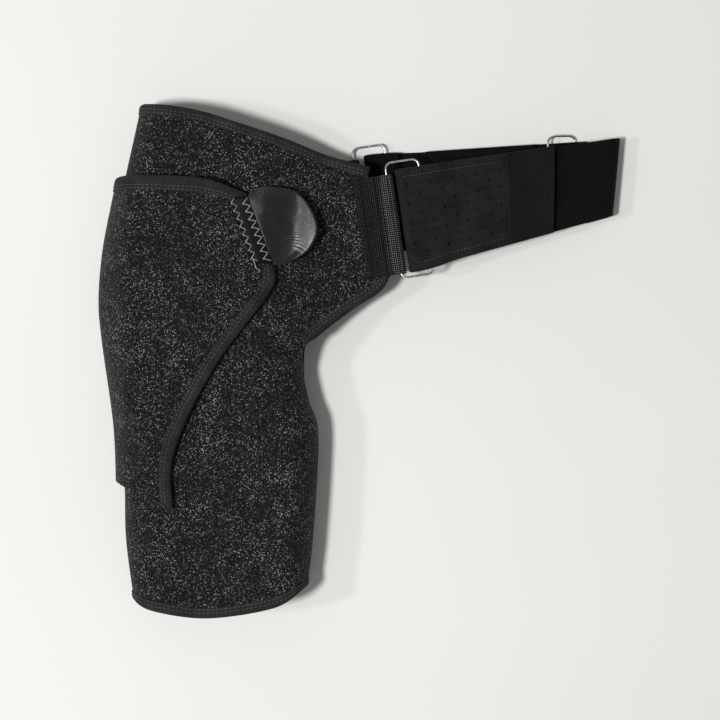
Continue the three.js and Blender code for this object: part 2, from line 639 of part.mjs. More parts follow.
function addSlider() {
  const sliderZ = (s) => mix(SLIDER_LEG_Z, WIRE + 0.2, (s - SLIDER_LEFT) / (SLIDER_RIGHT - SLIDER_LEFT));
  const wire = wireRing(SLIDER_LEFT, SLIDER_RIGHT, RING_OVERHANG, sliderZ, rearPlace);
  add('strap_slider', wire, looks.wire);
  const loopR = WIRE + GAP + LOOP_T / 2;
  const loop = [at(SLIDER_LEFT - 6, SLIDER_LEG_Z + loopR), ...halfTurn(SLIDER_LEFT, SLIDER_LEG_Z, loopR, 1),
    at(SLIDER_LEFT - 6, SLIDER_LEG_Z - loopR)];
  add('slider_end_loop', band(loop, LOOP_T, rearPlace, 0.08, 0.92), looks.neoprene);
}

function addRings() {
  const ring = (z, shift) => wireRing(PANEL_LEG, STRAP_LEG, RING_OVERHANG, () => z,
    (s, k, height) => ringPoint(s, k, height, shift));
  add('front_webbing_anchor', webbingAnchor(LEG_FRONT_Z, NO_SHIFT), looks.webbing);
  add('rear_webbing_anchor', webbingAnchor(LEG_REAR_Z, REAR_SHIFT), looks.webbing);
  add('front_ring', ring(LEG_FRONT_Z, NO_SHIFT), looks.wire);
  add('rear_ring', ring(LEG_REAR_Z, REAR_SHIFT), looks.wire);
}

addPanels();
addCuffBinding();
addSeamTapes();
addFlap();
addTab();
addTabBase();
addGelPack();
addFrontStrap();
addFrontElastic();
addRearStrap();
addSlider();
addRings();
export default wrap;
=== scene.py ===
"""Looks of the cold compression shoulder wrap: fabric panels, hems, stitching, strap, wire and light.

Lengths here are millimetres, turned into metres when a mesh is made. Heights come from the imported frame.
"""
import math

import bmesh
import bpy
import numpy as np
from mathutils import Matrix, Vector


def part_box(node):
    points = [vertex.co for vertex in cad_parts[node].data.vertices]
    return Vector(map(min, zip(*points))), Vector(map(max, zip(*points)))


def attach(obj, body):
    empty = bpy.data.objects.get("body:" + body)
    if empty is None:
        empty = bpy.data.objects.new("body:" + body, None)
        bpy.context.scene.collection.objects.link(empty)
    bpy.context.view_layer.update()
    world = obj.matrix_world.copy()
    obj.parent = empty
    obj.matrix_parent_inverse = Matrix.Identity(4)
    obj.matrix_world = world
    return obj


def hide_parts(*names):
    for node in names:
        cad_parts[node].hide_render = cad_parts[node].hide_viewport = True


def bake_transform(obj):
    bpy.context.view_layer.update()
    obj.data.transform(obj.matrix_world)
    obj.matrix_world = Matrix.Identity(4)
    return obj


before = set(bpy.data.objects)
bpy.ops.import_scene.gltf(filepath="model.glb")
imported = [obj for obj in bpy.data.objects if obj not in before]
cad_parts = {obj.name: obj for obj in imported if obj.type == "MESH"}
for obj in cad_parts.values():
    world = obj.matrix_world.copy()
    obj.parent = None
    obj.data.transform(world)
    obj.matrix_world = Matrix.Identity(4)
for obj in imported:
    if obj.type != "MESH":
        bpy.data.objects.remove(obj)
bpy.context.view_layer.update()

MM = 0.001


# ---- levels read from the frame
def low_z(node):
    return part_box(node)[0][2] / MM


def high_z(node):
    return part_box(node)[1][2] / MM


MID_Z = low_z("sleeve_front")                       # where front meets back at a side fold
SLEEVE_TOP = high_z("sleeve_front")
RING_Z = (low_z("front_ring") + high_z("front_ring")) / 2
REAR_RING_Z = (low_z("rear_ring") + high_z("rear_ring")) / 2
WIRE = (high_z("front_ring") - low_z("front_ring")) / 2     # radius of the ring's wire
NEOPRENE = 4.0
GAP = 0.3                                           # between pieces that lie on each other
WING_TOP = RING_Z + NEOPRENE / 2
BACK_LIFT = REAR_RING_Z - NEOPRENE / 2              # the rear wing lies a little above the floor
FOLD_R = 24.0                                       # radius of the sleeve's side folds
HEM = 8.0
HEM_PROUD = 0.7
FLAP_HEM = 10.0
FLAP_TOP_HEM = 12.0
FLAP_CLEAR = 3.0
PACK_SWELL = 6.5                                    # the gel pack lifts the flap by this much

# ---- the cut pattern, as it lies
OUTER_EDGE = [(-177, -186), (-183, -140), (-184, -100), (-186, -50), (-195, 15), (-197.5, 47),
              (-194.5, 85), (-187.5, 122), (-183, 145), (-177, 172), (-171, 199)]
INNER_EDGE = [(-41, -176), (-37, -143), (-33, -85), (-33, -52), (-39, -34), (-44, -12), (-44, 6)]
CUFF = [(-177, -186), (-163, -193), (-118, -199), (-66, -191), (-41, -176)]
SEAM = [(-185, -104), (-150, -108), (-100, -74), (-62, -40), (-43, -14)]
TOP_EDGE = [(-171, 199), (-128, 193), (-91, 182), (-54, 170), (-25, 159), (8, 150)]
TOP_EDGE_BACK = [(-171, 199), (-128, 193), (-91, 182), (-54, 170), (-15, 158)]
ARMPIT_FRONT = [(-43, -14), (-44, 6), (-37, 16), (-7, 39), (16, 54), (24, 68)]
ARMPIT = (-44, 2)
ARMPIT_BACK = [(-43, -14), (-44, 6), (-38, 22), (-24, 44), (-10, 66), (-3, 81)]
FLAP_OUTER = [(-191, -94), (-193, -50), (-202, 15), (-204.5, 47), (-201.5, 85), (-194.5, 122), (-190, 142)]
FLAP_FREE = [(-144, -114), (-145, -81), (-134, -47), (-111, -4), (-93, 21), (-75, 44), (-66, 58)]
FLAP_CORNER = [(-66, 58), (-67, 74), (-87, 128)]
FLAP_TOP = [(-190, 142), (-143, 141), (-115, 138), (-87, 128)]
FLAP_FOOT = [(-191, -94), (-165, -106), (-144, -114)]
STITCH_LOW, STITCH_HIGH = np.array([-67.0, 74.0]), np.array([-86.0, 125.0])
TAB_END = [(-61, 73), (-47, 79), (-38, 87), (-33, 100), (-37, 115), (-48, 129), (-62, 133), (-80, 132)]
TAB_BAND = 13.0

RING_LOW, RING_HIGH = np.array([38.0, 67.0]), np.array([26.0, 149.0])
FAR_LOW, FAR_HIGH = np.array([198.0, 112.0]), np.array([204.0, 176.0])
REAR_SHIFT = np.array([-26.0, 14.0])
STRAP_LENGTH = float(np.linalg.norm(FAR_LOW - RING_LOW))
STRAP_WIDTH = float(np.linalg.norm(RING_HIGH - RING_LOW))


# ---- curves and patches
class Curve:
    """A smooth curve through a few points, read by the share of its length."""

    def __init__(self, points, straight=False):
        p = np.array(points, float)
        if not straight and len(p) > 2:
            ends = np.vstack([p[:1], p, p[-1:]])
            t = np.linspace(0, 1, 25)[:-1, None]
            runs = [self._run(ends[i:i + 4], t) for i in range(len(p) - 1)]
            p = np.vstack(runs + [p[-1:]])
        self.points = p
        steps = np.linalg.norm(np.diff(p, axis=0), axis=1)
        self.at = np.concatenate([[0], np.cumsum(steps)])
        self.length = self.at[-1]

    @staticmethod
    def _run(p, t):
        a = 2 * p[1]
        b = p[2] - p[0]
        c = 2 * p[0] - 5 * p[1] + 4 * p[2] - p[3]
        d = -p[0] + 3 * p[1] - 3 * p[2] + p[3]
        return (a + b * t + c * t ** 2 + d * t ** 3) / 2

    def __call__(self, share):
        where = np.asarray(share) * self.length
        return np.stack([np.interp(where, self.at, column) for column in self.points.T], -1)

    def inward(self, share):
        """The direction to the left of the curve."""
        share = np.asarray(share, float)
        along = self(np.minimum(share + 0.01, 1)) - self(np.maximum(share - 0.01, 0))
        along /= np.linalg.norm(along, axis=-1, keepdims=True)
        return np.stack([-along[..., 1], along[..., 0]], -1)


def x_of_y(points):
    """A side edge read as x at a given y."""
    p = Curve(points).points
    return lambda y: np.interp(y, p[:, 1], p[:, 0])


def joined(first, second, corner):
    """Two curves read as one, meeting at share = corner."""
    def read(share):
        share = np.asarray(share, float)
        one = first(np.clip(share / corner, 0, 1))
        two = second(np.clip((share - corner) / (1 - corner), 0, 1))
        return np.where((share < corner)[..., None], one, two)
    return read


def patch(left, right, bottom, top):
    """The plan inside four edge curves."""
    def read(u, v):
        a, b = u[..., None], v[..., None]
        across = bottom(u) * (1 - b) + top(u) * b
        upward = left(v) * (1 - a) + right(v) * a
        low = bottom(0.0) * (1 - a) + bottom(1.0) * a
        high = top(0.0) * (1 - a) + top(1.0) * a
        return across + upward - low * (1 - b) - high * b
    return read


def ease(value, low, high):
    t = np.clip((value - low) / (high - low), 0, 1)
    return t * t * (3 - 2 * t)


def mix(a, b, t):
    return a + (b - a) * t


# ---- heights of the lying wrap
outer_x = x_of_y(OUTER_EDGE)
inner_x = x_of_y(INNER_EDGE)
flap_outer_x = x_of_y(FLAP_OUTER)
flap_free_x = x_of_y(FLAP_FREE + FLAP_CORNER[1:])


def fold(distance, radius):
    """Share of the full height at a distance in from a fold or a rim: a quarter circle."""
    left = 1 - np.clip(distance / radius, 0, 1)
    return np.sqrt(1 - left * left)


def closeness(x, y):
    """1 on the flat of the wrap, falling to 0 at its folds. Past the armpit the inner side is cut."""
    armpit_open = ease(y, -14, 18)
    inner = mix(fold(inner_x(y) - x, FOLD_R), 1, armpit_open)
    return fold(x - outer_x(y), FOLD_R) * inner


def softness(x, y):
    """Slow waves of fabric that isn't stretched over an arm, with creases fanning out of the armpit."""
    slow = 0.9 * np.sin(x / 31 + y / 57) * np.sin(y / 43 - 1.1) + 0.45 * np.sin(x / 17 - y / 23)
    dx, dy = x - ARMPIT[0], y - ARMPIT[1]
    reach = np.hypot(dx, dy)
    fan = np.sin(np.arctan2(dy, dx) * 9) * np.exp(-((reach - 26) / 20) ** 2)
    return slow + 0.9 * fan


def front_rise(x, y):
    """The front's height over the fold: the sleeve is high, and the wing slopes down to the ring."""
    wing = ease(x, -92, -12) * ease(y, -20, 48)
    return mix(SLEEVE_TOP - MID_Z, WING_TOP - MID_Z, wing)


def front_z(x, y):
    flat = 1 - ease(x, -30, -10) * ease(y, 40, 60)
    return MID_Z + front_rise(x, y) * closeness(x, y) + softness(x, y) * closeness(x, y) ** 2 * 0.7 * flat


def back_z(x, y):
    lift = BACK_LIFT * ease(x, -80, -38) * ease(y, 4, 50)
    return MID_Z * (1 - closeness(x, y)) + lift


def flap_z(x, y):
    """The flap swells over the gel pack and comes back down to its free edge."""
    swell = ease(x, -199, -178) * ease((flap_free_x(y) - x) * 0.8, 0, 22) * ease(y, -88, -60)
    spread = FLAP_CLEAR + NEOPRENE
    soft = 0.5 * np.sin(x / 23 + y / 37) * np.sin(y / 29)
    rise = front_rise(x, y) + spread + PACK_SWELL * swell + soft
    return MID_Z + rise * fold(x - flap_outer_x(y), FOLD_R + spread)


def lifted(xy, height, side=1):
    """Points on a height surface and its outward normals."""
    x, y = xy[..., 0], xy[..., 1]
    step = 0.04
    slope_x = (height(x + step, y) - height(x - step, y)) / (2 * step)
    slope_y = (height(x, y + step) - height(x, y - step)) / (2 * step)
    normal = np.stack([-slope_x, -slope_y, np.ones_like(x)], -1) * side
    normal /= np.linalg.norm(normal, axis=-1, keepdims=True)
    return np.stack([x, y, height(x, y)], -1), normal


# ---- mesh making
def raised(plan, z):
    """Plan points with their heights."""
    return np.concatenate([plan, z[..., None]], -1)


def mesh_piece(name, points, faces, material, body, slot, nodes=(), uv=None):
    """A mesh object with its material and body; slot is not used. A piece made with no body is left without
    one.
    """
    mesh = bpy.data.meshes.new(name)
    mesh.from_pydata((np.asarray(points).reshape(-1, 3) * MM).tolist(), [], faces)
    mesh.validate()
    mesh.materials.append(material)
    if uv is not None:
        layer = mesh.uv_layers.new(name="weave")
        corners = np.empty(len(mesh.loops), int)
        mesh.loops.foreach_get("vertex_index", corners)
        layer.data.foreach_set("uv", (np.asarray(uv).reshape(-1, 2)[corners] * MM).ravel())
    mesh.polygons.foreach_set("use_smooth", [True] * len(mesh.polygons))
    piece = bpy.data.objects.new(name, mesh)
    bpy.context.collection.objects.link(piece)
    outward(mesh)
    if body:
        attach(piece, body)
    if nodes:
        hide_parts(*nodes)
    return piece


def outward(mesh):
    """Joins doubled points and turns every face outward."""
    shape = bmesh.new()
    shape.from_mesh(mesh)
    bmesh.ops.remove_doubles(shape, verts=shape.verts, dist=1e-6)
    bmesh.ops.recalc_face_normals(shape, faces=shape.faces)
    shape.to_mesh(mesh)
    shape.free()


def grid_faces(rows, columns, start=0, wrap_rows=False, wrap_columns=False):
    """Quads between the points of a grid, numbered row by row."""
    faces = []
    for j in range(rows if wrap_rows else rows - 1):
        for i in range(columns if wrap_columns else columns - 1):
            k, n = (j + 1) % rows, (i + 1) % columns
            faces.append((start + j * columns + i, start + j * columns + n,
                          start + k * columns + n, start + k * columns + i))
    return faces


def end_caps(rows, columns, start=0):
    """The first and the last ring of a grid that is wrapped into a tube."""
    last = start + (rows - 1) * columns
    return [tuple(range(start, start + columns)), tuple(range(last, last + columns))]


def shell(outer, inner):
    """A closed sheet between two grids of points."""
    rows, columns = outer.shape[:2]
    count = rows * columns
    faces = grid_faces(rows, columns) + grid_faces(rows, columns, count)
    for j in range(rows - 1):
        for i in (0, columns - 1):
            a, b = j * columns + i, (j + 1) * columns + i
            faces.append((a, b, b + count, a + count))
    for i in range(columns - 1):
        for j in (0, rows - 1):
            a = j * columns + i
            faces.append((a, a + 1, a + 1 + count, a + count))
    return np.concatenate([outer.reshape(-1, 3), inner.reshape(-1, 3)]), faces


def lengths(grid):
    """Distances along the rows and columns of a grid of points, for the weave's coordinates."""
    along = np.linalg.norm(np.diff(grid, axis=1), axis=2)
    upward = np.linalg.norm(np.diff(grid, axis=0), axis=2)
    u = np.pad(np.cumsum(along, axis=1), ((0, 0), (1, 0)))
    v = np.pad(np.cumsum(upward, axis=0), ((1, 0), (0, 0)))
    return np.stack([u, v], -1)


def fold_spacing(width, left, right, step=2.0):
    """Shares across a panel, close together round the side folds that it has."""
    turn = np.linspace(0, math.pi / 2, 15)
    arc = (FOLD_R + 6) * (1 - np.cos(turn)) / width
    start = arc if left else np.array([0.0])
    end = 1 - arc[::-1] if right else np.array([1.0])
    count = max(2, int((end[0] - start[-1]) * width / step))
    return np.concatenate([start, np.linspace(start[-1], end[0], count)[1:-1], end])


def sheet_piece(name, top, bottom, material, body, slot, nodes):
    """A closed sheet whose weave runs along its top."""
    points, faces = shell(top, bottom)
    uv = lengths(top)
    return mesh_piece(name, points, faces, material, body, slot, nodes, np.concatenate([uv, uv]))


def neoprene_panel(name, plan, height, us, vs, side):
    u, v = np.meshgrid(us, vs)
    top, normal = lifted(plan(u, v), height, side)
    sheet_piece(name, top, top - normal * NEOPRENE, NEOPRENE_LOOK, "body", "neoprene", [name])


def tube(name, line, radius, material, body, slot, nodes=(), closed=False, sides=10):
    """Round wire or thread along a line of points."""
    line = np.asarray(line, float)
    if closed:
        ahead, behind = np.roll(line, -1, 0), np.roll(line, 1, 0)
    else:
        ahead = np.vstack([line[1:], line[-1:]])
        behind = np.vstack([line[:1], line[:-1]])
    along = ahead - behind
    along /= np.linalg.norm(along, axis=1, keepdims=True)
    out = np.cross(along, [0, 0, 1])
    out /= np.maximum(np.linalg.norm(out, axis=1, keepdims=True), 1e-9)
    up = np.cross(out, along)
    angle = np.linspace(0, 2 * math.pi, sides, endpoint=False)[None, :, None]
    radius = np.broadcast_to(radius, len(line))[:, None, None]
    ring = line[:, None] + radius * (out[:, None] * np.cos(angle) + up[:, None] * np.sin(angle))
    faces = grid_faces(len(line), sides, wrap_rows=closed, wrap_columns=True)
    if not closed:
        faces += end_caps(len(line), sides)
    return mesh_piece(name, ring, faces, material, body, slot, nodes)


STITCH_SIDES = 6
STITCH_SHAPE = ((-0.5, 0.35), (-0.3, 0.9), (0.0, 1.0), (0.3, 0.9), (0.5, 0.35))    # (along it, thickness)


def stitches(name, rows, body, slot, long=2.6, pitch=3.4, radius=0.32):
    """Separate stitches along lines of points with their surface normals."""
    points, faces = [], []
    ring = np.linspace(0, 2 * math.pi, STITCH_SIDES, endpoint=False)
    for line, normals in rows:
        track = Curve(line, straight=True)
        for start in np.arange(pitch, track.length - pitch, pitch):
            mid = track(start / track.length)
            ahead = track(min(start + 1, track.length) / track.length)
            along = ahead - track((start - 1) / track.length)
            along /= np.linalg.norm(along)
            up = np.array([np.interp(start, track.at, n) for n in normals.T])
            out = np.cross(along, up)
            base = len(points)
            for share, size in STITCH_SHAPE:
                sink = radius * (0.55 - 4.4 * share * share)
                centre = mid + along * share * long + up * sink
                for a in ring:
                    spoke = out * math.cos(a) * 1.15 + up * math.sin(a) * 0.8
                    points.append(centre + radius * size * spoke)
            faces += grid_faces(len(STITCH_SHAPE), STITCH_SIDES, base, wrap_columns=True)
            faces += end_caps(len(STITCH_SHAPE), STITCH_SIDES, base)
    return mesh_piece(name, np.array(points), faces, STITCH_LOOK, body, slot)


# ---- materials
class Look:
    """A new material, and short words for wiring its shader."""

    def __init__(self, name):
        self.material = bpy.data.materials.new(name)
        self.material.use_nodes = True
        self.tree = self.material.node_tree
        self.shader = self.tree.nodes["Principled BSDF"]
        self.place = self.add("ShaderNodeTexCoord").outputs

    def add(self, kind, **settings):
        node = self.tree.nodes.new(kind)
        for key, value in settings.items():
            setattr(node, key, value)
        return node

    def link(self, source, target):
        self.tree.links.new(source, target)

    def set(self, socket, value):
        self.shader.inputs[socket].default_value = value

    def noise(self, scale, detail=4.0, roughness=0.6):
        node = self.add("ShaderNodeTexNoise")
        node.inputs["Scale"].default_value = scale
        node.inputs["Detail"].default_value = detail
        node.inputs["Roughness"].default_value = roughness
        self.link(self.place["Object"], node.inputs["Vector"])
        return node.outputs["Fac"]

    def weave_axes(self):
        """Distances across and along the piece."""
        split = self.add("ShaderNodeSeparateXYZ")
        self.link(self.place["UV"], split.inputs[0])
        return split.outputs["X"], split.outputs["Y"]

    def ramp(self, value, stops):
        node = self.add("ShaderNodeValToRGB")
        elements = node.color_ramp.elements
        for k, (where, color) in enumerate(stops):
            element = elements[k] if k < 2 else elements.new(where)
            element.position = where
            element.color = (*color, 1)
        self.link(value, node.inputs["Fac"])
        return node.outputs["Color"]

    def color(self, value, stops):
        self.link(self.ramp(value, stops), self.shader.inputs["Base Color"])

    def rough(self, value, stops):
        self.link(self.ramp(value, [(at, grey(tone)) for at, tone in stops]), self.shader.inputs["Roughness"])

    def math(self, operation, a, b=0.0):
        node = self.add("ShaderNodeMath", operation=operation)
        for socket, value in zip(node.inputs, (a, b)):
            if isinstance(value, (int, float)):
                socket.default_value = value
            else:
                self.link(value, socket)
        return node.outputs[0]

    def plus(self, a, b):
        return self.math("ADD", a, b)

    def minus(self, a, b):
        return self.math("SUBTRACT", a, b)

    def times(self, a, b):
        return self.math("MULTIPLY", a, b)

    def wave(self, a, turn):
        return self.math("SINE", self.times(a, turn))

    def bump(self, height, strength, distance):
        node = self.add("ShaderNodeBump")
        node.inputs["Strength"].default_value = strength
        node.inputs["Distance"].default_value = distance
        self.link(height, node.inputs["Height"])
        self.link(node.outputs["Normal"], self.shader.inputs["Normal"])


def grey(value, warm=0.0):
    """A grey, with warm leaning it toward red and a little toward blue."""
    return (value * (1 + warm), value, value * (1 + warm * 0.6))


def pile_fabric(name, tones_and_glints, scale=1.0, rough=0.9):
    """Looped pile: every loop has its own tone, mostly dark, and a few are painted bright as glints of loops
    that catch the light.
    """
    look = Look(name)
    sway = look.noise(420 * scale, 2.0)
    bent = look.add("ShaderNodeVectorMath", operation="MULTIPLY_ADD")
    look.link(sway, bent.inputs[0])
    bent.inputs[1].default_value = (0.0007, -0.0005, 0.0006)
    look.link(look.place["Object"], bent.inputs[2])
    loop = look.add("ShaderNodeTexVoronoi", feature="F1")
    loop.inputs["Scale"].default_value = 1300 * scale
    look.link(bent.outputs["Vector"], loop.inputs["Vector"])
    tone = look.add("ShaderNodeSeparateColor")
    look.link(loop.outputs["Color"], tone.inputs[0])
    patches = look.times(look.minus(look.noise(38), 0.5), 0.22)
    # The ramp's top stops paint glints into the colour: the brightest loops stand for loops catching the
    # light.
    look.color(look.plus(tone.outputs["Red"], patches), [(at, grey(value, 0.10)) for at, value in tones_and_glints])
    look.rough(tone.outputs["Green"], [(0.0, rough), (1.0, rough - 0.25)])
    look.set("Sheen Weight", 0.02)
    look.set("Specular IOR Level", 0.16)
    look.bump(look.minus(look.times(sway, 0.5), loop.outputs["Distance"]), 0.8, 0.0006)
    return look.material


def knit_fabric(name, dark, light, pitch, rough=0.85, depth=0.0003, warm=0.08, shine=0.12):
    """A fine knit whose rows follow the piece."""
    look = Look(name)
    x, y = look.weave_axes()
    turn = 2 * math.pi / (pitch * MM)
    crossing = look.times(look.wave(x, turn), look.wave(y, turn * 0.62))
    weave = look.times(look.plus(crossing, 1.0), 0.5)
    grain = look.noise(900, 4.0, 0.7)
    worn = look.times(look.minus(look.noise(55), 0.5), 0.6)
    height = look.plus(look.times(weave, 0.45), look.times(grain, 0.7))
    look.color(look.plus(height, worn), [(0.34, grey(dark, warm)), (0.74, grey(light, warm))])
    look.rough(grain, [(0.3, rough + 0.08), (0.7, rough - 0.1)])
    look.set("Sheen Weight", 0.015)
    look.set("Specular IOR Level", shine)
    look.bump(height, 0.7, depth)
    return look.material


ZIG = 5.6               # width of one herringbone stripe of the webbing
THREAD_PITCH = 3.3


def woven_webbing():
    """Coarse herringbone tape: pale threads cross dark ones, brighter where it runs over the ring."""
    look = Look("webbing_weave")
    x, y = look.weave_axes()
    zig = look.math("PINGPONG", y, ZIG * MM)
    turn = 2 * math.pi / (THREAD_PITCH * MM)
    crossing = look.times(look.wave(look.plus(zig, x), turn), look.wave(look.minus(zig, x), turn))
    knot = look.times(look.plus(crossing, 1.0), 0.5)
    over_ring = look.ramp(look.times(y, 20.0), [(0.0, grey(0.80)), (0.42, grey(0.84)), (0.46, grey(1.0))])
    height = look.plus(look.times(knot, 0.75), look.times(look.noise(1100, 3.0, 0.7), 0.35))
    look.color(look.times(height, over_ring),
               [(0.48, grey(0.0015, 0.1)), (0.66, grey(0.010, 0.1)), (0.88, grey(0.26, 0.04))])
    look.set("Roughness", 0.62)
    look.set("Specular IOR Level", 0.12)
    look.bump(height, 1.0, 0.0007)
    return look.material


def glossy(name, color, rough, pitch, depth, coat=0.3, shine=0.5):
    """Smooth plastic film with fine ribs."""
    look = Look(name)
    x, y = look.weave_axes()
    turn = 2 * math.pi / (pitch * MM)
    ribs = look.wave(look.plus(look.times(x, 0.8), look.times(y, 0.6)), turn)
    threads = look.wave(look.minus(look.times(x, 0.6), look.times(y, 0.8)), turn)
    wear = look.noise(120, 5.0)
    look.color(wear, [(0.3, grey(color * 0.7)), (0.75, grey(color * 1.6))])
    look.rough(wear, [(0.3, rough - 0.05), (0.7, rough + 0.12)])
    look.set("Coat Weight", coat)
    look.set("Coat Roughness", 0.25)
    look.set("Specular IOR Level", shine)
    look.bump(look.plus(look.times(ribs, 0.5), look.times(threads, 0.35)), 0.5, depth)
    return look.material


def steel_wire():
    look = Look("steel_wire")
    marks = look.noise(700)
    look.color(marks, [(0.3, (0.42, 0.43, 0.45)), (0.7, (0.74, 0.75, 0.77))])
    look.rough(marks, [(0.3, 0.16), (0.7, 0.34)])
    look.set("Metallic", 1.0)
    look.bump(marks, 0.15, 0.0001)
    return look.material


def gel_film():
    look = Look("gel_film")
    swirl = look.noise(60, 5.0)
    look.color(swirl, [(0.3, (0.03, 0.14, 0.32)), (0.7, (0.10, 0.33, 0.56))])
    look.rough(swirl, [(0.3, 0.18), (0.7, 0.32)])
    look.set("Coat Weight", 0.5)
    look.bump(look.noise(420, 3.0), 0.3, 0.0003)
    return look.material


# The top stops (0.93 and 1.0) are painted glints on the pile, not lighter fibres.
NEOPRENE_TONES_AND_GLINTS = [(0.0, 0.001), (0.5, 0.003), (0.80, 0.011), (0.93, 0.060), (1.0, 0.29)]
NEOPRENE_LOOK = pile_fabric("loop_neoprene", NEOPRENE_TONES_AND_GLINTS, scale=1.3)
# The hook field's top stop is a faint painted glint.
HOOK_LOOK = pile_fabric("hook_field", [(0.0, 0.002), (0.7, 0.006), (1.0, 0.03)], scale=0.8, rough=0.6)
PERFORATED_LOOK = knit_fabric("perforated_knit", 0.002, 0.018, 1.3, depth=0.0004)
HOOK_END_LOOK = knit_fabric("hook_end_knit", 0.003, 0.0075, 1.3, warm=0.25)
BINDING_LOOK = knit_fabric("hem_knit", 0.003, 0.030, 1.6, depth=0.0006)
ELASTIC_LOOK = knit_fabric("elastic_rib", 0.0025, 0.006, 1.1, shine=0.06)
WEBBING_LOOK = woven_webbing()
TAB_LOOK = glossy("ribbed_tab", 0.003, 0.24, 1.2, 0.00022, coat=0.35)
BAND_LOOK = glossy("tab_band", 0.0035, 0.55, 1.5, 0.00012, coat=0.0, shine=0.12)
THREAD_LOOK = glossy("shiny_thread", 0.22, 0.25, 0.5, 0.0001, coat=0.8)
STITCH_LOOK = knit_fabric("stitch_thread", 0.012, 0.09, 0.6, rough=0.6, shine=0.3)
TAPE_LOOK = knit_fabric("seam_tape", 0.006, 0.014, 1.0)
WIRE_LOOK = steel_wire()
GEL_LOOK = gel_film()


# ---- panels
def between(points, low, high):
    """The stretch of an edge between two heights."""
    x = x_of_y(points)

    def read(share):
        y = mix(low, high, np.asarray(share, float))
        return np.stack([x(y), y], -1)
    return read


def moved(points, distance):
    """An edge moved sideways, to the left of its direction."""
    track = Curve(points)
    nearest = [np.argmin(np.linalg.norm(track.points - np.array(p), axis=1)) for p in points]
    shares = track.at[nearest] / track.length
    return track(shares) + track.inward(shares) * distance


def cuff_edge(distance):
    """The cuff's line moved up by a distance, its ends kept on the side edges."""
    points = moved(CUFF, distance)
    points[0][0] = outer_x(points[0][1])
    points[-1][0] = inner_x(points[-1][1])
    return points


def armpit_edge(armpit, distance):
    """The armpit's line moved in, but not where the sleeve's side fold begins."""
    points = moved(armpit, distance)
    for i in (0, 1):
        points[i] = (inner_x(armpit[i][1]), armpit[i][1])
    return points


TUCK = 2.0                  # how far a panel runs on under its hem
SLEEVE_ACROSS = 160         # widths that set the spacing of the mesh
SHOULDER_ACROSS = 175
FLAP_ACROSS = 115
FRONT_AND_BACK = (("front", front_z, 1, TOP_EDGE, ARMPIT_FRONT),
                  ("back", back_z, -1, TOP_EDGE_BACK, ARMPIT_BACK))


def seam_to(right_x):
    """The seam across the wrap, its ends put on the side edges."""
    seam = np.array(SEAM, float)
    seam[0, 0], seam[-1, 0] = outer_x(seam[0, 1]), right_x
    return seam


def make_sleeve(name, height, side):
    foot = cuff_edge(HEM - TUCK)
    seam = seam_to(inner_x(SEAM[-1][1]))
    left = between(OUTER_EDGE, foot[0][1], seam[0][1])
    right = between(INNER_EDGE, foot[-1][1], seam[-1][1])
    plan = patch(left, right, Curve(foot), Curve(seam))
    neoprene_panel(name, plan, height, fold_spacing(SLEEVE_ACROSS, True, True), np.linspace(0, 1, 80), side)


def make_shoulder(name, height, side, top_edge, armpit):
    top = moved(top_edge, -(HEM - TUCK))
    low = armpit_edge(armpit, HEM - TUCK)
    seam = seam_to(low[0][0])
    top[0][0] = outer_x(top[0][1])
    right = joined(Curve(low), Curve([low[-1], top[-1]]), 0.5)
    plan = patch(between(OUTER_EDGE, seam[0][1], top[0][1]), right, Curve(seam), Curve(top))
    neoprene_panel(name, plan, height, fold_spacing(SHOULDER_ACROSS, True, False), np.linspace(0, 1, 141),
                   side)


for side_name, surface, facing, top_edge, armpit in FRONT_AND_BACK:
    make_sleeve(f"sleeve_{side_name}", surface, facing)
    make_shoulder(f"shoulder_{side_name}", surface, facing, top_edge, armpit)


# ---- hems
def hem_profile(width, proud, edge_round):
    """A hem cut across: distance in from the edge, and height above the panel's face."""
    bottom = -NEOPRENE - proud * 0.6
    return np.array([(width, -0.8), (width - 0.2, proud * 0.45), (width - 1.2, proud * 0.72),
                     (width - 2.2, proud * 0.55), (width * 0.55, proud), (width * 0.28, proud * 1.05),
                     (0.7, proud * 0.6), (-edge_round * 0.7, -0.9), (-edge_round, -NEOPRENE / 2),
                     (-edge_round * 0.7, -NEOPRENE + 0.9), (0.7, bottom + 0.3), (width * 0.4, bottom),
                     (width - 1.0, bottom), (width, bottom + 0.8)])


def round_profile(profile):
    """Cuts the corners of a closed profile twice, so that it turns smoothly."""
    for _ in range(2):
        ahead = np.roll(profile, -1, 0)
        profile = np.stack([profile * 0.75 + ahead * 0.25, profile * 0.25 + ahead * 0.75], 1).reshape(-1, 2)
    return profile


PUCKER = 0.12               # the sewing pulls the band into small waves
PUCKER_TURNS = 225.0
SEWN_IN = (1.6, 4.2)        # the two stitch rows, in from the band's inner side


def hem(name, edge, inner, width, height, side, shares, body, nodes, proud=1.0):
    """A knitted band folded over an edge. edge and inner are its two sides in plan."""
    profile = round_profile(hem_profile(width, proud, 0.5 if side > 0 else 0.3))
    if side < 0:
        profile[:, 1] = np.minimum(profile[:, 1], 0.0)
    start, end = edge(shares)[:, None], inner(shares)[:, None]
    plan = start + (end - start) * (profile[None, :, :1] / width)
    base, normal = lifted(np.broadcast_to(plan, (len(shares), len(profile), 2)), height, side)
    pucker = PUCKER * np.sin(shares[:, None] * PUCKER_TURNS) * (profile[None, :, 1] > 0)
    points = base + normal * (profile[None, :, 1] + pucker)[..., None]
    faces = grid_faces(len(shares), len(profile), wrap_columns=True) + end_caps(len(shares), len(profile))
    mesh_piece(name, points, faces, BINDING_LOOK, body, "binding", nodes, lengths(points))
    rows = []
    for distance, above in zip(SEWN_IN, (proud * 0.55, proud * 0.8)):
        line = start[:, 0] + (end[:, 0] - start[:, 0]) * ((width - distance) / width)
        p, n = lifted(line, height, side)
        rows.append((p + n * (above if side > 0 else 0.05), n))
    stitches(f"{name}_stitches", rows, body, "binding")


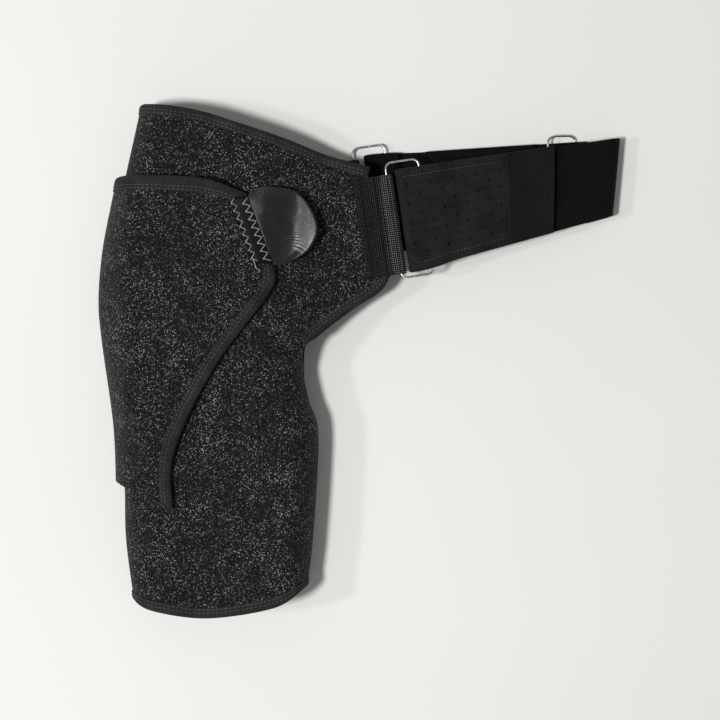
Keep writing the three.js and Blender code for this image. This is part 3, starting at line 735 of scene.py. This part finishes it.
HEM_STEP = 1.6              # spacing of the mesh along a hem
TOP_EDGE_LENGTH = 195
ARMPIT_START = 0.2          # the armpit's hem begins where the side fold ends

for side_name, surface, facing, top_edge, armpit in FRONT_AND_BACK:
    inset = moved(top_edge, -HEM)
    inset[0][0] = outer_x(inset[0][1])
    hem(f"top_hem_{side_name}", Curve(top_edge), Curve(inset), HEM, surface, facing,
        fold_spacing(TOP_EDGE_LENGTH, True, False, HEM_STEP), "body", [f"top_edge_binding_{side_name}"])
    hem(f"armpit_hem_{side_name}", Curve(armpit), Curve(armpit_edge(armpit, HEM)), HEM, surface, facing,
        np.linspace(ARMPIT_START, 1, 70), "body", [f"armpit_binding_{side_name}"])
    hem(f"cuff_hem_{side_name}", Curve(cuff_edge(0)), Curve(cuff_edge(HEM)), HEM, surface, facing,
        fold_spacing(SLEEVE_ACROSS, True, True, HEM_STEP), "body", ["cuff_binding"] if facing > 0 else [])


# ---- flap
FLAP_HEIGHT = 250.0
FLAP_CORNER_AT = 0.72       # share of the free side below the corner by the tab
FLAP_PROUD = 1.1            # how far the flap's hems stand over it
FLAP_TOP_LENGTH = 112
flap_right = joined(Curve(FLAP_FREE), Curve(FLAP_CORNER), FLAP_CORNER_AT)
flap_plan = patch(Curve(FLAP_OUTER), flap_right, Curve(FLAP_FOOT), Curve(FLAP_TOP))


def flap_across(v, distance):
    """The share across the flap that is a distance in from its free edge."""
    width = np.linalg.norm(flap_plan(np.ones_like(v), v) - flap_plan(np.zeros_like(v), v), axis=-1)
    return 1 - distance / width


def flap_upward(distance):
    """The share up the flap that is a distance down from its top."""
    return 1 - distance / FLAP_HEIGHT


def make_flap():
    vs = np.linspace(0, flap_upward(FLAP_TOP_HEM - TUCK), 150)
    u, v = np.meshgrid(fold_spacing(FLAP_ACROSS, True, False), vs)
    u = u * flap_across(v, FLAP_HEM - TUCK)
    top, normal = lifted(flap_plan(u, v), flap_z)
    piece = sheet_piece("flap_panel", top, top - normal * NEOPRENE, NEOPRENE_LOOK, None, "neoprene",
                        ["flap_panel"])
    blend_flap(piece)

    def free_line(distance):
        def read(share):
            v = np.asarray(share) * flap_upward(FLAP_TOP_HEM * 0.6)
            return flap_plan(flap_across(v, distance), v)
        return read

    def top_line(distance):
        def read(share):
            u = np.asarray(share, float)
            return flap_plan(u, np.full_like(u, flap_upward(distance)))
        return read

    hem("flap_free_hem", free_line(0), free_line(FLAP_HEM), FLAP_HEM, flap_z, 1, np.linspace(0, 1, 190),
        "flap", ["flap_edge_binding"], FLAP_PROUD)
    hem("flap_top_hem", top_line(0), top_line(FLAP_TOP_HEM), FLAP_TOP_HEM, flap_z, 1,
        fold_spacing(FLAP_TOP_LENGTH, True, False, HEM_STEP), None, ["flap_top_binding"], FLAP_PROUD)
    for name in ("flap_top_hem", "flap_top_hem_stitches"):
        blend_flap(bpy.data.objects[name])


def blend_flap(piece):
    """Bakes the piece's placement into its mesh."""
    low, high = (-0.204, 0.02, MID_Z * MM), (-0.172, 0.02, MID_Z * MM)
    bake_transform(piece)
    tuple(low)
    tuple(high)


make_flap()


# ---- pull tab
TAB_T = 3.0
TAB_HOOK_T = 1.4
TAB_CURL = 12.0                         # the tab's free end bends up this far
TAB_CURL_X, TAB_CURL_REACH = -62, 31    # where it starts to bend, and over what length
TAB_SETTLE = 2.2                        # how far it stays over the front beyond the flap
BAND_T = 2.2
ZIGZAG_TURNS = 8


def tab_z(x, y):
    """The tab's top: over the flap at its seam, down on the front beyond the flap, and up at its free end."""
    on_flap = FLAP_CLEAR + NEOPRENE + HEM_PROUD + GAP + TAB_T + TAB_HOOK_T
    on_front = TAB_T + TAB_HOOK_T + TAB_SETTLE
    flat = MID_Z + front_rise(x, y) * closeness(x, y)
    curl = TAB_CURL * np.clip((x - TAB_CURL_X) / TAB_CURL_REACH, 0, 1.2) ** 1.5
    return flat + mix(on_flap, on_front, ease(x, -76, -44)) + curl


toward = np.array([1.0, 0.35]) / math.hypot(1.0, 0.35)      # from the seam to the free end
tab_start = Curve([STITCH_LOW, STITCH_HIGH], straight=True)
tab_round = Curve([STITCH_LOW, *TAB_END, STITCH_HIGH])


def tab_plan(u, v):
    """u runs from the seam to the round end, v along the seam."""
    start = tab_start(v) + toward * 0.6
    return start + (tab_round(v) - start) * u[..., None]


def make_tab():
    """A padded tongue with a round rim, and the hook field under it."""
    rim_us = 1 - 0.15 * np.cos(np.linspace(0, math.pi / 2, 14))
    us = np.concatenate([np.linspace(0, 0.85, 60), rim_us[1:]])
    u, v = np.meshgrid(us, np.linspace(0, 1, 110))
    top, normal = lifted(tab_plan(u, v), tab_z)
    rim = np.minimum(1 - u, np.minimum(v, 1 - v) * 2.2)
    crown = 0.9 * ease(rim, 0.0, 0.35) * ease(u, 0.1, 0.5)
    edge = fold(rim, 0.05)
    top = top + normal * (crown - TAB_T * 0.45 * (1 - edge))[..., None]
    bottom = top - normal * (TAB_T * mix(0.3, 1.0, edge) + crown * 0.7)[..., None]
    sheet_piece("pull_tab", top, bottom, TAB_LOOK, "tab", "tab", ["pull_tab"])
    u, v = np.meshgrid(np.linspace(0.4, 0.92, 30), np.linspace(0.12, 0.88, 40))
    top, normal = lifted(tab_plan(u, v), tab_z)
    hooks = 0.12 * np.sin(u * 160) * np.sin(v * 230)
    upper, lower = TAB_T + 0.1, TAB_T + 0.1 + TAB_HOOK_T + hooks[..., None]
    points, faces = shell(top - normal * upper, top - normal * lower)
    mesh_piece("tab_hooks", points, faces, HOOK_LOOK, "tab", "hook", ["tab_hook_patch"])


def band_plan(u, v):
    """The band left of the seam: u across it, v along the seam."""
    return tab_start(v) + np.stack([-TAB_BAND * (1 - u) + 0.5 * u, 0.2 * u], -1)


def band_top(xy):
    """The band rises from the flap at its left edge to the tab it runs on into."""
    x, y = xy[..., 0], xy[..., 1]
    at_line = np.interp(y, [STITCH_LOW[1], STITCH_HIGH[1]], [STITCH_LOW[0], STITCH_HIGH[0]])
    share = 1 + (x - at_line) / TAB_BAND
    return mix(flap_z(x, y) + BAND_T, tab_z(x, y), ease(share, 0.02, 0.26))


def zigzag(name, offset, amplitude, lift):
    """Thick shiny thread sewn to and fro, with a bright knot at each right-hand turn."""
    count = ZIGZAG_TURNS * 2 + 1
    shares = np.linspace(0.03, 0.97, count)
    swing = np.where(np.arange(count) % 2 == 0, amplitude, -amplitude)
    plan = tab_start(shares) + np.stack([offset + swing, swing * 0.35], -1)
    track = Curve(raised(plan, band_top(plan) + lift), straight=True)
    where = np.linspace(0, 1, (count - 1) * 12 + 1)
    line = track(where)
    turn = np.abs((where * (count - 1) + 1) % 2 - 1)
    knot = np.exp(-((1 - turn) / 0.12) ** 2)
    line[:, 2] += 0.25 + 0.45 * knot - 0.5 * np.exp(-(turn / 0.15) ** 2)
    tube(name, line, 0.38 + 0.42 * knot, THREAD_LOOK, "flap", "tab", sides=8)


def loose_thread():
    """The end of the thread, left long at the band's low corner."""
    t = np.linspace(0, 1, 40)
    low = band_plan(np.array(0.05), np.array(0.0))
    plan = low + np.stack([-3 + 5.5 * t, 2.5 - 9.5 * t + 1.2 * np.sin(t * 9)], -1)
    height = flap_z(plan[:, 0], plan[:, 1]) + 1.6 + 1.6 * np.sin(t * math.pi) ** 2
    tube("loose_thread", raised(plan, height), 0.42, THREAD_LOOK, "flap", "tab", sides=8)


def make_tab_band():
    """The strip that the tab is sewn on with two rows of zigzag."""
    u, v = np.meshgrid(np.linspace(0, 1, 30), np.linspace(0, 1, 60))
    plan = band_plan(u, v)
    edge = np.minimum(u / 0.10, np.minimum(v, 1 - v) / 0.03)
    sink = 1.6 * (1 - fold(edge, 1))
    top = raised(plan, band_top(plan) - sink)
    bottom = raised(plan, flap_z(plan[..., 0], plan[..., 1]) - GAP)
    sheet_piece("tab_band", top, bottom, BAND_LOOK, "flap", "tab", ["tab_base_strip"])
    zigzag("zigzag_right", -3.0, 2.3, 0.1)
    zigzag("zigzag_left", -TAB_BAND + 0.4, 1.5, 0.0)
    loose_thread()


make_tab()
make_tab_band()


# ---- chest strap
WEBBING = 1.6           # thickness of the webbing
WEBBING_START = -33.0   # its sewn end on the wing
CHANNEL_ROWS = (-11.5, -13.6)   # the sewing that closes its channel round the ring
SQUARE_END = 40         # past this far from the ring, the strap runs straight to the far bend
EDGE_ROUND = 1.6        # radius of a band's edges
EDGE_THIN = math.sqrt(0.02)     # share of its thickness left at the very edge


def ring_point(s, k, z, shift):
    """A point s to the right of a ring's left side, at share k up its width."""
    low, high = RING_LOW + shift, RING_HIGH + shift
    leg = (RING_HIGH - RING_LOW) / STRAP_WIDTH
    across = np.array([leg[1], -leg[0]])
    plan = low + (high - low) * k[..., None] + across * s[..., None]
    return raised(plan, z)


def strap_point(s, k, z, shift):
    """A point s along the strap and at share k of its width; the strap narrows toward the far bend."""
    f = (s / STRAP_LENGTH)[..., None]
    low = (RING_LOW + shift) * (1 - f) + FAR_LOW * f
    high = (RING_HIGH + shift) * (1 - f) + FAR_HIGH * f
    return raised(low + (high - low) * k[..., None], z)


def strap_place(shift, drop=None):
    """Reads strap places that leave a ring squarely, and drop toward the floor."""
    def read(s, k, z):
        share = ease(s, 0, SQUARE_END)[..., None]
        p = ring_point(s, k, z, shift) * (1 - share) + strap_point(s, k, z, shift) * share
        if drop is not None:
            p[..., 2] = z - drop(s)
        return p
    return read


def half_turn(s, z, radius, side, steps=16):
    """Points round a bend, from its top to its bottom, to the right (side 1) or the left (side -1)."""
    angle = np.linspace(0, math.pi, steps)
    return [(s + side * radius * math.sin(a), z + radius * math.cos(a)) for a in angle]


def ribbon(name, path, thickness, place, material, slot, body, nodes=None, k0=0.01, k1=0.99, step=1.5,
           across_step=2.0, relief=None):
    """A flat band along a path in (s, z), with rounded edges. relief(s, k) raises its outer face.
    It replaces the node of its own name, or nodes."""
    track = Curve(path, straight=True)
    count = max(4, int(track.length / step))
    line = track(np.linspace(0, 1, count + 1))
    along = np.gradient(line, axis=0)
    along /= np.linalg.norm(along, axis=1, keepdims=True)
    out = np.stack([-along[:, 1], along[:, 0]], -1)
    rim = 1 - np.cos(np.linspace(0, math.pi / 2, 6))
    width = STRAP_WIDTH * (k1 - k0)
    inner = np.linspace(0, 1, max(4, int(width / across_step)))[1:-1]
    edge = EDGE_ROUND / width
    shares = np.concatenate([rim * edge, mix(edge, 1 - edge, inner), 1 - rim[::-1] * edge])
    inset = np.minimum(shares, 1 - shares) / edge
    half = thickness / 2 * np.maximum(fold(inset, 1), EDGE_THIN)
    k = mix(k0, k1, shares)[None, :]
    sides = []
    for sign in (1, -1):
        s = line[:, None, 0] + out[:, None, 0] * half[None] * sign
        z = line[:, None, 1] + out[:, None, 1] * half[None] * sign
        if relief is not None and sign > 0:
            rise = relief(line[:, None, 0] + 0 * k, k + 0 * s) * (np.clip(inset, 0, 1)[None] > 0.9)
            s, z = s + out[:, None, 0] * rise, z + out[:, None, 1] * rise
        sides.append(place(s, np.broadcast_to(k, s.shape), z))
    sheet_piece(name, *sides, material, body, slot, nodes or [name])


PANEL_LEG, STRAP_LEG = -6.0, 20.0          # the two legs of a ring
RING_CORNER = 5.0
OVERHANG_LOW, OVERHANG_HIGH = 2.4, 5.0     # how far a ring reaches past the strap's edges
SLIDER_LEFT, SLIDER_RIGHT = 121.0, 139.0
STRAP_DROP = 9.0                           # the strap sinks this far from the ring to the far bend
SETTLE = 1.7                               # and this far onto its own return
TURN = 6.0                                 # centre of its fold round the ring
UNDER_END = 40.0                           # end of its return under itself
HOOK_START, HOOK_END = 83.0, 118.0
BEND, FLAT_END, BEND_END = 157.4, 150.0, 147.0
REAR_START, INNER_END = 146.0, 26.0
SLIDE_LEFT = 16.0                          # how far the inner strap can run toward the ring
REAR_RUN_Z = 4.0
ELASTIC = 2.5
FRONT_FOLD_R = NEOPRENE / 2 + WIRE + GAP
BOTTOM_Z = ELASTIC / 2 + 0.2
SEWN_EDGE = 7.4                            # the strap's stitch rows, in from its edges
HOLE_COLUMNS, HOLE_ROWS = 8.6, 15.2        # spacing of the perforations


def front_drop(s):
    """How far the front half of the loop has sunk at s."""
    return STRAP_DROP * ease(s, STRAP_LEG + 4, 155)


def top_z(s):
    """Middle of the front strap's upper run, before it sinks."""
    return RING_Z + FRONT_FOLD_R - SETTLE * ease(s, STRAP_LEG + 4, 50)


def sewn_edges(across):
    """The strap's edges are turned in and sewn 7 mm from each side: a proud band and a sewn groove."""
    from_edge = np.minimum(across, STRAP_WIDTH - across)
    band = 0.45 * (1 - ease(from_edge, 5.8, SEWN_EDGE))
    groove = -0.5 * np.exp(-((from_edge - SEWN_EDGE) / 0.6) ** 2)
    return band + groove


def holes(s, k):
    """Round perforations in staggered columns between the sewn edges."""
    across = k * STRAP_WIDTH
    column = np.round(s / HOLE_COLUMNS)
    ds = s - column * HOLE_COLUMNS
    half = HOLE_ROWS / 2
    shift = np.where(column % 2 == 0, 0.0, half)
    dk = (across - shift + half) % HOLE_ROWS - half
    reach = np.hypot(ds, dk)
    inside = (across > 11) & (across < STRAP_WIDTH - 11) & (s > 6) & (s < HOOK_START - 4)
    pits = -1.9 * (1 - ease(reach, 0.90, 1.30)) * inside
    end = -0.5 * np.exp(-((s - HOOK_START + 1.5) / 0.7) ** 2)
    wave = 0.45 * np.sin(s / 9 + across / 13) * np.sin(across / 11) * (s > 6)
    pucker = 0.18 * np.sin(s * 1.9) * (np.minimum(across, STRAP_WIDTH - across) < 7)
    return pits + sewn_edges(across) + end + wave + pucker


def strap_stitches(name, place, height, spans, body, slot, pitch, radius):
    """Stitches on a strap's upper face, each row given by its two ends (s, k)."""
    rows = []
    for (s0, k0), (s1, k1) in spans:
        s, k = np.linspace(s0, s1, 60), np.linspace(k0, k1, 60)
        rows.append((place(s, k, height(s)), np.tile([0.0, 0.0, 1.0], (60, 1))))
    stitches(name, rows, body, slot, 2.2, pitch, radius)


def make_front_strap():
    """The perforated strap folded round the front ring, its hook end, and the elastic it goes on as."""
    place = strap_place(np.zeros(2), front_drop)
    under = RING_Z - FRONT_FOLD_R
    s = np.linspace(HOOK_START, TURN + 1, 30)
    path = list(zip(s, top_z(s))) + half_turn(TURN, RING_Z, FRONT_FOLD_R, -1)
    path += [(STRAP_LEG, under), (UNDER_END, under)]
    ribbon("perforated_strap", path[::-1], NEOPRENE, place, PERFORATED_LOOK, "perforated", "front_strap",
           step=0.5, across_step=0.5, relief=holes)
    s = np.linspace(HOOK_START - 0.2, HOOK_END, 24)

    def end_relief(s, k):
        across = k * STRAP_WIDTH
        rim = np.exp(-((s - HOOK_END + 3) / 0.6) ** 2)
        return sewn_edges(across) - 0.45 * rim + 0.3 * np.sin(s / 7 + across / 15)
    ribbon("strap_hook_end", list(zip(s, top_z(s))), NEOPRENE, place, HOOK_END_LOOK, "perforated",
           "strap_end", step=0.8, across_step=0.8, relief=end_relief)
    patch_path = list(zip(s[1:-2], top_z(s[1:-2]) - NEOPRENE / 2 - 0.85))
    ribbon("strap_hooks", patch_path, 1.2, place, HOOK_LOOK, "hook", "strap_end", ["strap_hook_patch"],
           k0=0.06, k1=0.94)
    make_front_elastic(place, under - 0.4)
    long_rows = [((5, k), (HOOK_START - 2, k)) for k in (7.5 / STRAP_WIDTH, 1 - 7.5 / STRAP_WIDTH)]
    strap_stitches("strap_sewing", place, lambda s: top_z(s) + NEOPRENE / 2 - 0.25, long_rows,
                   "front_strap", "perforated", 3.0, 0.28)


def make_front_elastic(place, top):
    """Elastic from under the perforated part to the far bend, round it and back onto the floor."""
    low = top - STRAP_DROP
    radius = (low - BOTTOM_Z) / 2
    s = np.linspace(UNDER_END - 0.5, FLAT_END, 40)
    bend = half_turn(BEND, BOTTOM_Z + radius, radius, 1, 24)
    bend += [(FLAT_END, REAR_RUN_Z), (BEND_END, REAR_RUN_Z)]
    path = list(zip(s, np.full_like(s, top))) + [(at, z + float(front_drop(at))) for at, z in bend]
    ribbon("front_elastic", path, ELASTIC, place, ELASTIC_LOOK, "elastic", "front_strap",
           k0=0.02, k1=0.98, relief=elastic_ribs)


def elastic_ribs(s, k):
    """Fine ribs along the elastic, and slow waves."""
    return 0.10 * np.sin(k * STRAP_WIDTH * 2 * math.pi / 2.6) + 0.3 * np.sin(s / 13) * np.sin(k * 5)


def make_rear_strap():
    """The elastic's return to the rear ring, the strap inside the loop, and the slider between them."""
    place = strap_place(REAR_SHIFT)
    fold_r = WIRE + GAP + ELASTIC / 2
    path = [(REAR_START, REAR_RUN_Z), (60, REAR_RUN_Z), (30, BOTTOM_Z + 0.4)]
    path += half_turn(TURN, REAR_RING_Z, fold_r, -1)[::-1] + [(INNER_END, REAR_RING_Z + fold_r)]
    ribbon("rear_elastic", path, ELASTIC, place, ELASTIC_LOOK, "elastic", "rear_strap", k0=0.02, k1=0.98)
    inner_z = REAR_RUN_Z + ELASTIC + 0.7
    path = [(INNER_END + SLIDE_LEFT, inner_z), (60, inner_z), (SLIDER_LEFT - 8, inner_z)]
    ribbon("rear_inner_strap", path, ELASTIC, place, ELASTIC_LOOK, "perforated", "slider", k0=0.02, k1=0.98)
    left_z = inner_z + 1.6

    def slider_z(s):
        return mix(left_z, WIRE + 0.2, (s - SLIDER_LEFT) / (SLIDER_RIGHT - SLIDER_LEFT))
    make_ring("strap_slider", SLIDER_LEFT, SLIDER_RIGHT, slider_z, place, "slider")
    loop_r = WIRE + 0.9
    path = [(SLIDER_LEFT - 7, left_z + loop_r - 0.9)] + half_turn(SLIDER_LEFT, left_z, loop_r, 1)
    path += [(SLIDER_LEFT - 6, left_z - loop_r)]
    ribbon("slider_end_loop", path, 1.1, place, PERFORATED_LOOK, "perforated", "slider", k0=0.08, k1=0.92)


def make_ring(name, start, end, height, place, body):
    """Wire bent into a rectangle with round corners."""
    width, length = end - start, STRAP_WIDTH + OVERHANG_LOW + OVERHANG_HIGH
    near, right, upper = RING_CORNER, width - RING_CORNER, length - RING_CORNER
    outline = []
    for cx, cy, turn in ((right, near, -90), (right, upper, 0), (near, upper, 90), (near, near, 180)):
        for a in np.radians(np.linspace(turn, turn + 90, 9)):
            outline.append((cx + RING_CORNER * math.cos(a), cy + RING_CORNER * math.sin(a)))
    outline = np.array(outline + outline[:1])
    track = Curve(outline, straight=True)
    flat = track(np.linspace(0, 1, 140, endpoint=False))
    s, k = start + flat[:, 0], (flat[:, 1] - OVERHANG_LOW) / STRAP_WIDTH
    tube(name, place(s, k, height(s)), WIRE, WIRE_LOOK, body, "wire", [name], closed=True, sides=14)


def make_webbing(name, leg_z, shift):
    """Webbing folded round a ring's leg and sewn on both faces of the wing."""
    reach = NEOPRENE / 2 + HEM_PROUD + GAP + WEBBING / 2
    path = [(WEBBING_START, leg_z + reach), (PANEL_LEG, leg_z + reach)]
    path += half_turn(PANEL_LEG, leg_z, reach, 1) + [(WEBBING_START, leg_z - reach)]

    def weave(s, k):
        """Threads stand up in a herringbone, with a sewn groove beside the ring's channel."""
        across = k * STRAP_WIDTH
        zig = np.abs((s - WEBBING_START) % (2 * ZIG) - ZIG)
        turn = 2 * math.pi / THREAD_PITCH
        threads = np.sin((zig + across) * turn) * np.sin((zig - across) * turn)
        near, far = CHANNEL_ROWS
        groove = np.exp(-((s - near) / 0.6) ** 2) + 0.6 * np.exp(-((s - far) / 0.5) ** 2)
        return 0.16 * threads - 0.5 * groove

    def place(s, k, z):
        return ring_point(s, k, z, shift)
    ribbon(name, path, WEBBING, place, WEBBING_LOOK, "webbing", "body", k1=0.95,
           step=0.4, across_step=0.5, relief=weave)
    rows = [((s, 0.03), (s, 0.93)) for s in (*CHANNEL_ROWS, WEBBING_START + 1.5)]
    strap_stitches(f"{name}_stitches", place, lambda s: np.full_like(s, leg_z + reach + 0.55), rows,
                   "body", "webbing", 2.9, 0.3)


make_front_strap()
make_rear_strap()
for ring_name, leg_z, shift, anchor in (
        ("front_ring", RING_Z, np.zeros(2), "front_webbing_anchor"),
        ("rear_ring", REAR_RING_Z, REAR_SHIFT, "rear_webbing_anchor")):
    make_ring(ring_name, PANEL_LEG, STRAP_LEG, lambda s, z=leg_z: np.full_like(s, z),
              lambda s, k, z, shift=shift: ring_point(s, k, z, shift), ring_name)
    make_webbing(anchor, leg_z, shift)


# ---- inside: gel pack and seam tapes
PACK_LEFT = [(-161, -24), (-163, 112)]
PACK_RIGHT = [(-145, -28), (-134, -8), (-113, 24), (-108, 108)]
PACK_CELLS = (2, 5)         # across and along


def make_gel_pack():
    """A pouch welded into cells, each swollen with gel."""
    foot = Curve([PACK_LEFT[0], PACK_RIGHT[0]], straight=True)
    head = Curve([PACK_LEFT[-1], PACK_RIGHT[-1]], straight=True)
    plan = patch(Curve(PACK_LEFT, straight=True), Curve(PACK_RIGHT), foot, head)
    u, v = np.meshgrid(np.linspace(0, 1, 60), np.linspace(0, 1, 120))
    xy = plan(u, v)
    rim = np.clip(np.minimum(np.minimum(u, 1 - u) / 0.10, np.minimum(v, 1 - v) / 0.05), 0, 1)
    across, along = PACK_CELLS
    cells = np.abs(np.sin(u * math.pi * across)) ** 0.5 * np.abs(np.sin(v * math.pi * along)) ** 0.5
    full = 0.35 + 2.3 * rim * (0.25 + 0.75 * cells)
    middle = (low_z("gel_pack") + high_z("gel_pack")) / 2
    points, faces = shell(raised(xy, middle + full), raised(xy, middle - full))
    piece = mesh_piece("gel_pack", points, faces, GEL_LOOK, "gel_pack", "gel", ["gel_pack"])


TAPE_T = 0.7
TAPE_HALF = 22              # degrees of the side fold that a tape covers, up and down


def make_tape(name, edge, side, low, high):
    """Thin tape along the inside of a side fold."""
    radius = FOLD_R - NEOPRENE - 1.0
    angle, y = np.meshgrid(np.radians(np.linspace(-TAPE_HALF, TAPE_HALF, 12)), np.linspace(low, high, 90))
    sides = []
    for r in (radius, radius - TAPE_T):
        x = edge(y) - side * (FOLD_R - r * np.cos(angle))
        sides.append(np.stack([x, y, MID_Z + r * np.sin(angle)], -1))
    sheet_piece(name, *sides, TAPE_LOOK, "body", "tape", [name])


make_gel_pack()
make_tape("arm_seam_tape", inner_x, 1, -160, -20)
make_tape("outer_seam_tape", outer_x, -1, -165, 185)


# ---- seam across the front
def make_front_seam():
    """The sewn line between sleeve and shoulder."""
    p, n = lifted(Curve(SEAM)(np.linspace(0.03, 0.97, 140)), front_z)
    tube("front_seam", p - n * 0.15, 0.35, TAPE_LOOK, "body", "neoprene", sides=6)


make_front_seam()


# ---- stage, light and camera
FLOOR_HALF = 3.0
FLOOR_Z = -0.0004
LIGHTS = (                  # name, place, size, power and colour
    ("window", (-1.08, -0.30, 2.80), 0.40, 71, (1.0, 1.0, 0.985)),
    ("low_window", (-2.30, -0.20, 2.30), 0.27, 18, (1.0, 1.0, 1.0)))
SKY_COLOR = (0.97, 1.0, 0.96, 1)
SKY_STRENGTH = 0.285
CAMERA_HEIGHT = 1.8
VIEW_ACROSS = 0.5616
SENSOR = 36


def make_stage():
    corners = [(x * FLOOR_HALF, y * FLOOR_HALF, FLOOR_Z) for x, y in ((-1, -1), (1, -1), (1, 1), (-1, 1))]
    mesh = bpy.data.meshes.new("floor")
    mesh.from_pydata(corners, [], [(0, 1, 2, 3)])
    look = Look("floor_paper")
    look.color(look.noise(3, 2.0, 0.5), [(0.3, (0.72, 0.73, 0.715)), (0.7, (0.75, 0.76, 0.745))])
    look.set("Roughness", 0.7)
    mesh.materials.append(look.material)
    floor = bpy.data.objects.new("floor", mesh)
    bpy.context.collection.objects.link(floor)


def area_light(name, place, size, power, color):
    """A round lamp that faces the wrap."""
    lamp = bpy.data.lights.new(name, "AREA")
    lamp.shape = "DISK"
    lamp.size = size
    lamp.energy = power
    lamp.color = color
    holder = bpy.data.objects.new(name, lamp)
    holder.location = place
    holder.rotation_euler = (-Vector(place)).to_track_quat("-Z", "Y").to_euler()
    bpy.context.collection.objects.link(holder)


def make_light():
    world = bpy.data.worlds.new("studio")
    world.use_nodes = True
    sky = world.node_tree.nodes["Background"]
    sky.inputs["Color"].default_value = SKY_COLOR
    sky.inputs["Strength"].default_value = SKY_STRENGTH
    bpy.context.scene.world = world
    for name, place, size, power, color in LIGHTS:
        area_light(name, place, size, power, color)


def make_camera():
    """Straight above, framed so that the wrap sits as it was laid out."""
    camera = bpy.data.cameras.new("camera")
    camera.sensor_width = SENSOR
    camera.lens = SENSOR * (CAMERA_HEIGHT - SLEEVE_TOP * MM * 0.6) / VIEW_ACROSS
    holder = bpy.data.objects.new("camera", camera)
    holder.location = (0, 0, CAMERA_HEIGHT)
    bpy.context.collection.objects.link(holder)
    bpy.context.scene.camera = holder
    bpy.context.scene.view_settings.view_transform = "Standard"


make_stage()
make_light()
make_camera()
